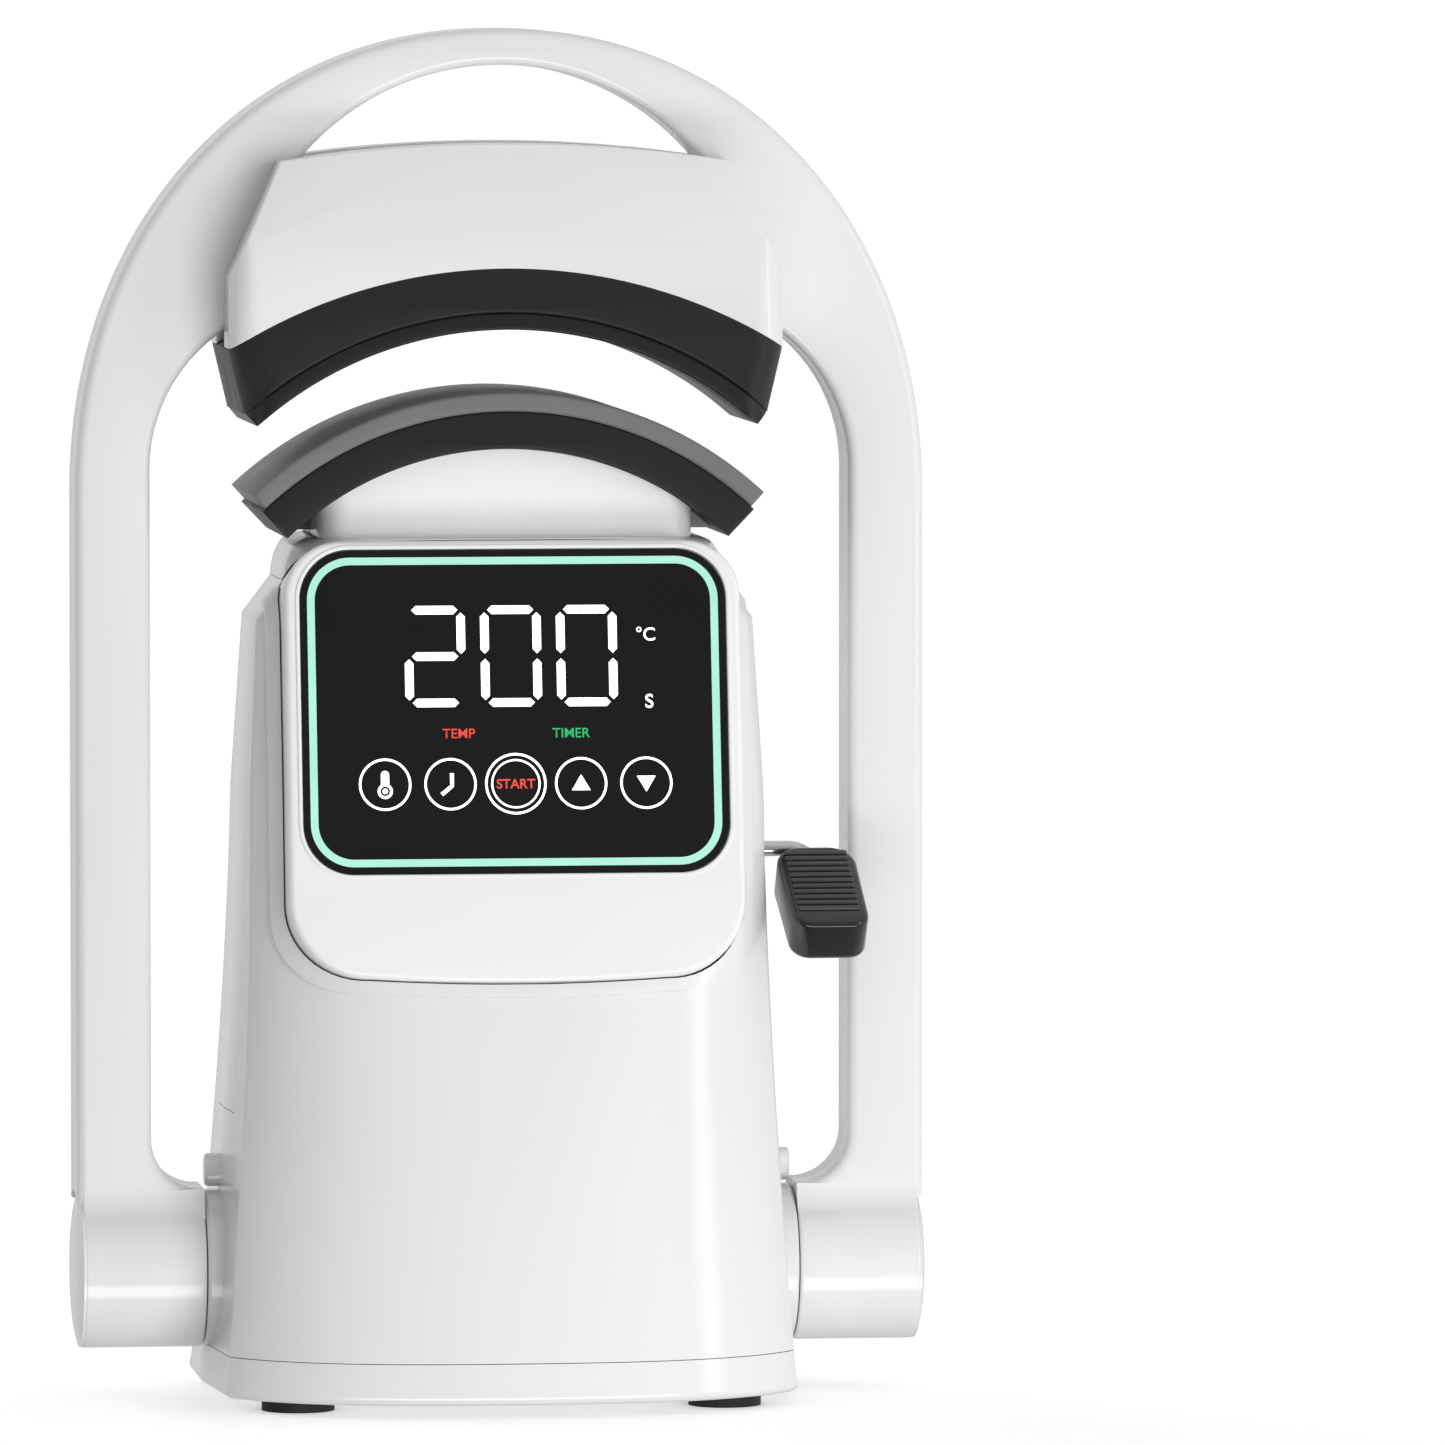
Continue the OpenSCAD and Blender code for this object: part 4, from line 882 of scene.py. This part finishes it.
def side_limit(z, inset, y):
    """Half width of the side plates, which draw in a little towards the front."""
    return half_width(z) - inset - TOE_IN_BASE * depth_down(z) * max(0.0, -y)


def wide_half(z, inset):
    """Half width of the plan's round curve, which the side plates cut."""
    return half_width(z) - inset + SIDE_FLAT_TOP + (SIDE_FLAT_BASE - SIDE_FLAT_TOP) * depth_down(z)


def plan_point(z, inset, power, turn):
    """Point of the body's outline at one height, turned from the right side."""
    base, bow = (BASE_FRONT, FRONT_BOW) if sin(turn) < 0 else (BASE_REAR, REAR_BOW)
    deep = depth_at(z, base, bow)
    y = (deep - inset) * signed_power(sin(turn), 2 / power)
    x = wide_half(z, inset) * signed_power(cos(turn), 2 / power)
    limit = side_limit(z, inset, y)
    return max(-limit, min(limit, x)), y, z


def crease_turn(z, inset, power, sign):
    """Where the round part of the plan meets the side plate, in front (-1) or behind (1)."""
    low, high = 0.0, QUARTER
    wide = wide_half(z, inset)
    for _ in range(24):
        turn = (low + high) / 2
        y = plan_point(z, inset, power, sign * turn)[1]
        if wide * signed_power(cos(turn), 2 / power) > side_limit(z, inset, y):
            low = turn
        else:
            high = turn
    return high


def body_ring(z, inset, steps):
    """Plan of the body at one height, with points exactly at the creases of its side plates."""
    power = TOP_POWER + (PLAN_POWER - TOP_POWER) * depth_down(z)
    front = crease_turn(z, inset, power, -1)
    rear = crease_turn(z, inset, power, 1)
    corners = [-front, 0, rear, pi - rear, pi, pi + front, 2 * pi - front]
    shares = [steps // 20, steps // 20, steps * 2 // 5, steps // 20, steps // 20, steps * 2 // 5]
    turns = []
    for start, end, count in zip(corners, corners[1:], shares):
        turns += [start + (end - start) * i / count for i in range(count)]
    return [plan_point(z, inset, power, turn) for turn in turns]


def at_height(z, ring):
    """The same ring of points at another height."""
    return [(x, y, z) for x, y, _ in ring]


def body_loft(name, low, high, inset, levels=60, steps=200, edge=0.0):
    """The body's outside moved inwards, with a rounded top edge where edge is given."""
    corners = [z for z in (CHAMFER_Z - inset, SHOULDER_Z - inset) if low < z < high]
    spread = [low + (high - low) * sin(QUARTER * k / levels) for k in range(levels + 1)]
    heights = sorted(corners + spread)
    stations = [(z, inset) for z in heights if not edge or z < high - edge]
    if edge:
        turns = [QUARTER * k / 6 for k in range(7)]
        stations += [(high - edge + edge * sin(t), inset + edge * (1 - cos(t))) for t in turns]
    rings = [at_height(z, body_ring(min(z, BODY_TOP), drawn_in, steps)) for z, drawn_in in stations]
    return loft(name, rings)


def body_skin(name):
    """Hollow shell with the body's whole outside."""
    skin = body_loft(name, PLINTH_Z, BODY_TOP, 0, edge=2.5)
    inner = body_loft("inner", PLINTH_Z - 1, BODY_TOP - BODY_WALL, BODY_WALL, 40, 120)
    return cut(skin, inner)


def panel_loop(grow):
    """Outline of the front panel, with its low edge on a wide arc."""
    half = PANEL_HALF + grow
    length = (BODY_TOP - PANEL_Z) / cos(PANEL_TILT)
    corner_r = PANEL_LOW_R
    arc_z = PANEL_LOW_ARC_R - grow
    side_turn = asin((half - corner_r) / PANEL_LOW_ARC_R)
    low_z = arc_z - PANEL_LOW_ARC_R * cos(side_turn)
    top_r = GLASS_R + 2
    right = arc((half - corner_r, low_z + corner_r), corner_r, -QUARTER + side_turn, 0, 12)
    upper_right = arc((half - top_r, length + grow - top_r), top_r, 0, QUARTER, 12)
    lower = arc((0, arc_z), PANEL_LOW_ARC_R, -QUARTER - side_turn, -QUARTER + side_turn, 24)
    return tidy_loop(lower + right + upper_right + [(-x, z) for x, z in upper_right[::-1]]
                     + [(-x, z) for x, z in right[::-1]])


def side_zone(name, side, grow):
    """Block around one side panel."""
    inner = WAIST_HALF - TOP_TAPER - CHAMFER_W - 2 - grow
    half = SIDE_PANEL_HALF + grow
    low, high = sorted((side * inner, side * (inner + 40)))
    return box_object(name, (low, -half, SIDE_PANEL_Z - grow), (high, half, SHOULDER_Z + grow))


def rear_zone(name, grow):
    """Block around the rear cover."""
    loop = rounded_rect(COVER_HALF + grow, COVER_LOW - grow, COVER_TOP + grow, COVER_R)
    return rounded_plate(name, [loop], 12 - grow, REACH, facing)


def panel_cutter(name, grow):
    """Block in the shape of the front panel, grown on all sides, that reaches in past the shell's wall."""
    return rounded_plate(name, [panel_loop(grow)], -PANEL_DEPTH - 6, 40, on_panel)


def make_body(materials):
    """Main shell, side panels, rear cover and base tray, all cut from the same outside."""
    shell = body_skin("main_shell_skin")
    sides = {}
    for side, name in ((-1, "left"), (1, "right")):
        panel = copy_of(shell, f"side_panel_{name}_skin")
        keep(panel, side_zone("zone", side, 0))
        cut(panel, panel_cutter("cut", SEAM))
        sides[name] = panel
    cover = copy_of(shell, "rear_cover_skin")
    keep(cover, rear_zone("zone", 0))
    slots = [((x - SLOT_HALF_W, COVER_IN, z), (x + SLOT_HALF_W, REACH, z + SLOT_H))
             for z in SLOT_Z for x in SLOT_X]
    cut(cover, *[box_object("opening", low, high) for low, high in (*SOCKETS, *slots)])
    for side in (-1, 1):
        cut(shell, side_zone("zone", side, FINE_SEAM))
    cut(shell, rear_zone("zone", SEAM))
    cut(shell, panel_cutter("cut", SEAM))
    neck_plan = rounded_rect(NECK_HALF + 1, -NECK_DEPTH_HALF - 1, NECK_DEPTH_HALF + 1, 11)
    neck_cut = rounded_plate("neck_cut", [neck_plan], NECK_CUT_LOW, CUT_TOP, upright)
    cut(shell, neck_cut, box_object("hook_cut", *HOOK_SLOT))
    for side in (-1, 1):
        join(shell, barrel_stub(side), stop_lug(side))
    finish_piece(shell, materials["white"], "root", ["main_shell"], 28)
    finish_piece(cover, materials["cover"], "root", ["rear_cover"], 28)
    for name, panel in sides.items():
        finish_piece(panel, materials["white"], "root", [f"side_panel_{name}"], 28)
    finish_piece(make_tray(), materials["white"], "root", ["base_tray"], 28)


def barrel_stub(side):
    """Short collar of the body that the arch's barrel turns against."""
    end = BARREL_IN - 0.4
    stub = lathe_x("stub", [(side * 80, BARREL_R), (side * (end - 1), BARREL_R), (side * end, BARREL_R - 1)],
                   PIVOT_Z)
    keep(stub, box_object("low", (-200, -100, PLINTH_Z), (200, 100, 120)))
    inside = body_loft("inside", PLINTH_Z - 1, BODY_TOP, BODY_WALL, 30, 96)
    return cut(stub, inside)


def stop_lug(side):
    """Rounded stop above the barrel, at the body's side."""
    radius = 4.0
    low = PIVOT_Z + BARREL_R + radius + 1
    loop = arc((0, low + 3), radius, 0, pi, 12) + arc((0, low), radius, pi, 2 * pi, 12)
    ends = sorted((side * (WAIST_HALF + 2), side * (BARREL_IN - 1)))
    radii = (1.2, 0) if side < 0 else (0, 1.2)
    return rounded_plate("lug", [tidy_loop(loop)], *ends, lambda a, b, depth: (depth, -a, b), *radii, 3)


def make_tray():
    """Base tray with a rounded lower edge, drawn in under the plinth line."""
    edge = 3.0
    side_low, side_top = TRAY_Z + edge, PLINTH_Z - FINE_SEAM
    rings = [at_height(TRAY_Z + edge * (1 - cos(t)), body_ring(TRAY_Z, edge * (1 - sin(t)), 200))
             for t in [QUARTER * k / 5 for k in range(6)]]
    rings += [body_ring(side_low + (side_top - side_low) * k / 6, 0, 200) for k in range(1, 7)]
    tray = loft("base_tray_skin", rings)
    hollow = loft("hollow", [body_ring(TRAY_Z + 3, BODY_WALL, 96),
                             at_height(PLINTH_Z + 1, body_ring(PLINTH_Z, BODY_WALL, 96))])
    return cut(tray, hollow)


# Front panel and display

def glass_outline(grow, radius):
    """Outline of the display glass, grown on all sides."""
    return rounded_rect(GLASS_W / 2 + grow, GLASS_UP - grow, GLASS_UP + GLASS_H + grow, radius, 14)


def make_fascia(materials):
    """Front panel: a hollow tray with a pocket for the glass and room for the neck behind it."""
    edge = 2.2
    pocket_depth, wall = 2.6, 5
    wall_end = -PANEL_DEPTH - 10
    panel = rounded_plate("fascia_skin", [panel_loop(0)], wall_end, 0, on_panel, 0, edge, 6)
    pocket = rounded_plate("pocket", [glass_outline(0.3, GLASS_R)], -pocket_depth, 10, on_panel)
    hollow = rounded_plate("hollow", [panel_loop(-BODY_WALL)], wall_end - 1, -wall, on_panel)
    room_half = NECK_HALF + 2
    room_low = (-room_half, -NECK_DEPTH_HALF - 2, NECK_LOW - 14)
    cut(panel, pocket, hollow, box_object("neck_room", room_low, (room_half, 200, CUT_TOP)))
    # The panel takes the lighter white copy, which is painted front light
    finish_piece(panel, materials["panel"], "root", ["fascia"], 30)


def make_fascia_lip(materials):
    """A thin lip round the glass, and the body's raised bead that follows the panel's edge."""
    outer, inner = glass_outline(1.7, GLASS_R + 1.4), glass_outline(0.35, GLASS_R + 0.05)
    lip = rounded_plate("glass_lip", [outer, inner[::-1]], -0.6, 0.5, on_panel, 0, 0.45, 4)
    # The lip takes the same lighter white copy, which is painted front light
    finish_piece(lip, materials["panel"], "root", angle=50)
    bead_w, bead_h, bead_root = 4.6, 1.9, 1.2
    bead = body_loft("panel_bead", PLINTH_Z + 80, SHOULDER_Z - 2, -bead_h, 50, 200)
    keep(bead, panel_cutter("ring", bead_w))
    cut(bead, panel_cutter("cut", SEAM))
    cut(bead, body_loft("inside", PLINTH_Z, BODY_TOP, bead_root, 40, 160))
    soften(bead, 1.0, 3, 40)
    finish_piece(bead, materials["white"], "root", angle=50)


# Marks on the display, in the panel's own millimetres: across from its middle and up from its low edge
DIGIT_X = (-25.9, -0.9, 24.1)
DIGIT_Z = 107.8
DIGIT_HALF_W = 8.6
DIGIT_HALF_H = 15.3
SEGMENT_W = 2.8
BAR_GAP = 0.75
KEY_Z = 65.7
KEY_STEP = 21.5
KEY_R = 8.6
KEY_LINE = 0.75


def mark(name, loops, material, height=0.12):
    """A thin lit or printed mark on the glass."""
    item = rounded_plate(name, loops, -GLASS_RECESS, height - GLASS_RECESS, on_panel)
    return finish_piece(item, material, "root")


def segment_loop(centre, half_length, standing):
    """One bar of a digit, with pointed ends."""
    half = SEGMENT_W / 2
    flat = half_length - half
    loop = [(-half_length, 0), (-flat, -half), (flat, -half), (half_length, 0), (flat, half), (-flat, half)]
    if standing:
        loop = [(-z, x) for x, z in loop]
    return [(centre[0] + x, centre[1] + z) for x, z in loop]


def digit_bars(digit):
    """Places of the bars that a digit lights: top, upper sides, middle, lower sides and bottom."""
    lit = {"2": (1, 0, 1, 1, 1, 0, 1), "0": (1, 1, 1, 0, 1, 1, 1)}[digit]
    w, h = DIGIT_HALF_W, DIGIT_HALF_H
    bars = [((0, h), False), ((-w, h / 2), True), ((w, h / 2), True), ((0, 0), False),
            ((-w, -h / 2), True), ((w, -h / 2), True), ((0, -h), False)]
    return [bar for bar, on in zip(bars, lit) if on]


def make_digits(materials):
    across = DIGIT_HALF_W - 0.25 - BAR_GAP
    up = DIGIT_HALF_H / 2 - 0.1 - BAR_GAP
    for place, digit in enumerate("200"):
        for k, ((x, z), standing) in enumerate(digit_bars(digit)):
            centre = (DIGIT_X[place] + x, DIGIT_Z + z)
            bar = segment_loop(centre, up if standing else across, standing)
            mark(f"digit_{place}_bar_{k}", [bar], materials["lit_white"])


def ring_mark(name, centre, radius, line, material):
    """A circle drawn with a line of one width."""
    return mark(name, [circle_loop(centre, radius), circle_loop(centre, radius - line, turn=-1)], material)


def line_loop(points, width):
    """Outline of a bent line of one width, with blunt ends."""
    half = width / 2
    right, left = [], []
    for i, (x, z) in enumerate(points):
        before = points[max(i - 1, 0)]
        after = points[min(i + 1, len(points) - 1)]
        along = Vector((after[0] - before[0], after[1] - before[1])).normalized()
        right.append((x + along.y * half, z - along.x * half))
        left.append((x - along.y * half, z + along.x * half))
    return right + left[::-1]


def word(name, text, centre, cap_height, material, boldness=0.0):
    """A short word on the glass, made from the built-in font."""
    cap_share = 0.69
    half_thickness, above_glass = 0.05, 0.07
    curve = bpy.data.curves.new(name, "FONT")
    curve.body = text
    curve.align_x = "CENTER"
    curve.size = cap_height / cap_share
    curve.offset = boldness
    curve.extrude = half_thickness
    item = place_object(name, curve)
    mesh = final_mesh(item)
    bpy.data.objects.remove(item)
    for vertex in mesh.vertices:
        across, up, depth = vertex.co
        depth += above_glass - GLASS_RECESS
        vertex.co = Vector(on_panel(centre[0] + across, centre[1] + up - cap_height / 2, depth)) * MM
    return finish_piece(place_object(name, mesh), material, "root")


def make_keys(materials):
    """Five touch keys: thermometer, clock hands, start, up and down."""
    lit = materials["lit_white"]
    thermometer, clock, start, up, down = centres = [((k - 2) * KEY_STEP - 0.1, KEY_Z) for k in range(5)]
    for name, centre in zip(("thermometer", "clock", "start", "up", "down"), centres):
        if name != "start":
            ring_mark(f"key_{name}_ring", centre, KEY_R, KEY_LINE, lit)
    x, z = thermometer
    bulb = (x, z - 2.2)
    stem = arc((x, z + 3.2), 1.35, 0, pi, 8) + arc(bulb, 2.5, radians(123), radians(417), 20)
    mark("thermometer_glass", [stem, circle_loop(bulb, 1.6, 24, -1)], lit)
    mark("thermometer_bulb", [circle_loop(bulb, 0.9, 20)], lit)
    x, z = clock
    mark("clock_hands", [line_loop([(x + 0.5, z + 3.6), (x + 0.5, z - 0.6), (x - 2.9, z - 3.4)], 1.3)], lit)
    ring_mark("key_start_outer", start, KEY_R + 1.5, KEY_LINE, lit)
    ring_mark("key_start_inner", start, KEY_R - 0.5, KEY_LINE * 0.8, lit)
    word("key_start_word", "START", start, 3.0, materials["lit_red"], 0.08)
    for name, (x, z), turn in (("up", up, 1), ("down", down, -1)):
        corners = [(x - 3.1, z - 2.3 * turn), (x + 3.1, z - 2.3 * turn), (x, z + 2.9 * turn)]
        mark(f"arrow_{name}", [corners[::turn]], lit)


def make_labels(materials):
    word("unit_degrees", "\u00b0C", (43.6, 114.8), 4.2, materials["lit_white"], 0.05)
    word("unit_seconds", "S", (44.4, 92.7), 4.4, materials["lit_white"], 0.08)
    word("label_temp", "TEMP", (-18.6, 82.4), 3.1, materials["lit_red"], 0.03)
    word("label_timer", "TIMER", (18.4, 82.4), 3.1, materials["lit_green"], 0.03)


# Neck and tension lever

def make_neck(materials):
    """Two covers round the lift posts, cut to the curve of the platen above."""
    wall = 2.4
    top = NECK_LOW + 70
    roof_r = PAD_R - PAD_T - PLATEN_T - 0.4
    plan = rounded_rect(NECK_HALF, -NECK_DEPTH_HALF, NECK_DEPTH_HALF, 10, 12)
    inside = rounded_rect(NECK_HALF - wall, wall - NECK_DEPTH_HALF, NECK_DEPTH_HALF - wall, 7.6, 10)
    roof = circle_loop((0, PLATEN_CENTRE_Z), roof_r, 180)
    for name, dir_y, look, slot in FRONT_AND_REAR:
        cover = rounded_plate(f"neck_{name}_skin", [plan], NECK_LOW, top, upright)
        hollow = rounded_plate("inside", [inside], NECK_LOW - 1, top + 10, upright)
        cut(cover, hollow)
        keep(cover, rounded_plate("roof", [roof], -60, 60, facing))
        near, far = sorted((dir_y * 3, dir_y * 60))
        keep(cover, box_object("half", (-100, near, 200), (100, far, 400)))
        # The front cover takes the lighter white copy as painted front light; the rear cover keeps the plain
        # cover plastic
        look = "panel" if dir_y < 0 else look
        finish_piece(cover, materials[look], "lift", [f"neck_{name}_cover"], 28)


def tube(name, path, radius, sides=24):
    """A round rod along a path of points."""
    turns = [2 * pi * k / sides for k in range(sides)]
    rings = []
    for i, place in enumerate(path):
        along = (Vector(path[min(i + 1, len(path) - 1)]) - Vector(path[max(i - 1, 0)])).normalized()
        across = along.orthogonal() if i == 0 else across - along * across.dot(along)
        across.normalize()
        other = along.cross(across)
        rings.append([Vector(place) + (across * cos(t) + other * sin(t)) * radius for t in turns])
    return loft(name, rings)


def along_grip(a, b, depth):
    """A flat outline on the grip: across it, down along it, and the depth out of its ribbed face."""
    return (GRIP_X + a + GRIP_SIDEWAYS * b,
            LEVER_Y - b * cos(GRIP_SLOPE) - depth * sin(GRIP_SLOPE),
            LEVER_Z - b * sin(GRIP_SLOPE) + depth * cos(GRIP_SLOPE))


def make_rod(materials):
    """Bent steel rod, from inside the body out to the grip."""
    inner_end, grip_reach = 15.5, 15
    bend_r = 7.0
    bend_x = GRIP_X - 0.3
    rod_z = LEVER_Z + 0.9
    turns = [QUARTER * k / 8 for k in range(9)]
    line = [(bend_x - bend_r + bend_r * sin(t), bend_r * (1 - cos(t))) for t in turns]
    path = [(x, LEVER_Y - down * cos(GRIP_SLOPE), rod_z - down * sin(GRIP_SLOPE))
            for x, down in [(inner_end, 0), *line, (bend_x, grip_reach)]]
    rod = tube("lever_rod", path, LEVER_R)
    finish_piece(rod, materials["bright_steel"], "lever", ["lever_shaft"], 30)


def make_grip(materials):
    """Black grip, rounder at its root than at its end, with raised ribs on its face."""
    start, end = 4.5, 43.5
    root_half, end_half = 13.2, 12.8
    root_r, end_r = 8.5, 6.5
    back, face, rib_top = -9.8, 6.5, 7.4
    loop = (arc((root_half - root_r, start + root_r), root_r, -QUARTER, 0, 8)
            + arc((end_half - end_r, end - end_r), end_r, 0, QUARTER, 8)
            + arc((end_r - end_half, end - end_r), end_r, QUARTER, 2 * QUARTER, 8)
            + arc((root_r - root_half, start + root_r), root_r, 2 * QUARTER, 3 * QUARTER, 8))
    grip = rounded_plate("lever_grip_skin", [tidy_loop(loop)], back, face, along_grip, 2.4, 1.8)
    finish_piece(grip, materials["gloss_black"], "lever", ["lever_grip"], 35)
    ribs = 11
    step = (end - start - 9) / ribs
    for k in range(ribs):
        low = start + 3 + k * step
        half = root_half - 2.6 + (end_half - root_half) * k / ribs
        rib = rounded_plate(f"grip_rib_{k}", [rounded_rect(half, low, low + step * 0.62, step * 0.3, 4)],
                            face - 0.5, rib_top, along_grip, 0, 0.6, 3)
        # Ribs take the lighter grey: partly their own matt grey, partly a painted highlight on their tops
        finish_piece(rib, materials["rib"], "lever", angle=40)


# Finishing touches on the CAD nodes that stay

LOOK_OF_SLOT = {
    "white_shell": "white", "white_cover": "cover", "grey_white_panel": "side",
    "black_plastic": "black", "display_black": "glass", "light_strip": "ring", "circuit_board": "board",
    "rubber_foot": "rubber", "steel": "steel", "aluminium": "aluminium", "zinc_grey": "zinc",
    "bronze": "bronze", "black_coated": "coated", "heater_plate": "heater", "silicone_pad": "silicone",
    "polyimide": "film", "insulation": "felt",
}


def dress_cad_nodes(materials):
    """Materials for the CAD nodes that no scene piece replaces."""
    slots = {part["node"]: part["material_slot"] for part in frame["record"]["subparts"]}
    for name, item in NODES.items():
        smooth_by_angle(item.data, 30)
        item.data.materials.clear()
        item.data.materials.append(materials[LOOK_OF_SLOT[slots[name]]])


bpy.context.scene.view_settings.view_transform = "Standard"
make_camera()
make_lights()
make_world()
make_floor()
all_materials = make_materials()
for make in (dress_cad_nodes, make_arch, make_head, make_heated_platen, make_lower_platen, make_body,
             make_fascia, make_fascia_lip, make_digits, make_keys, make_labels, make_neck, make_rod,
             make_grip):
    make(all_materials)
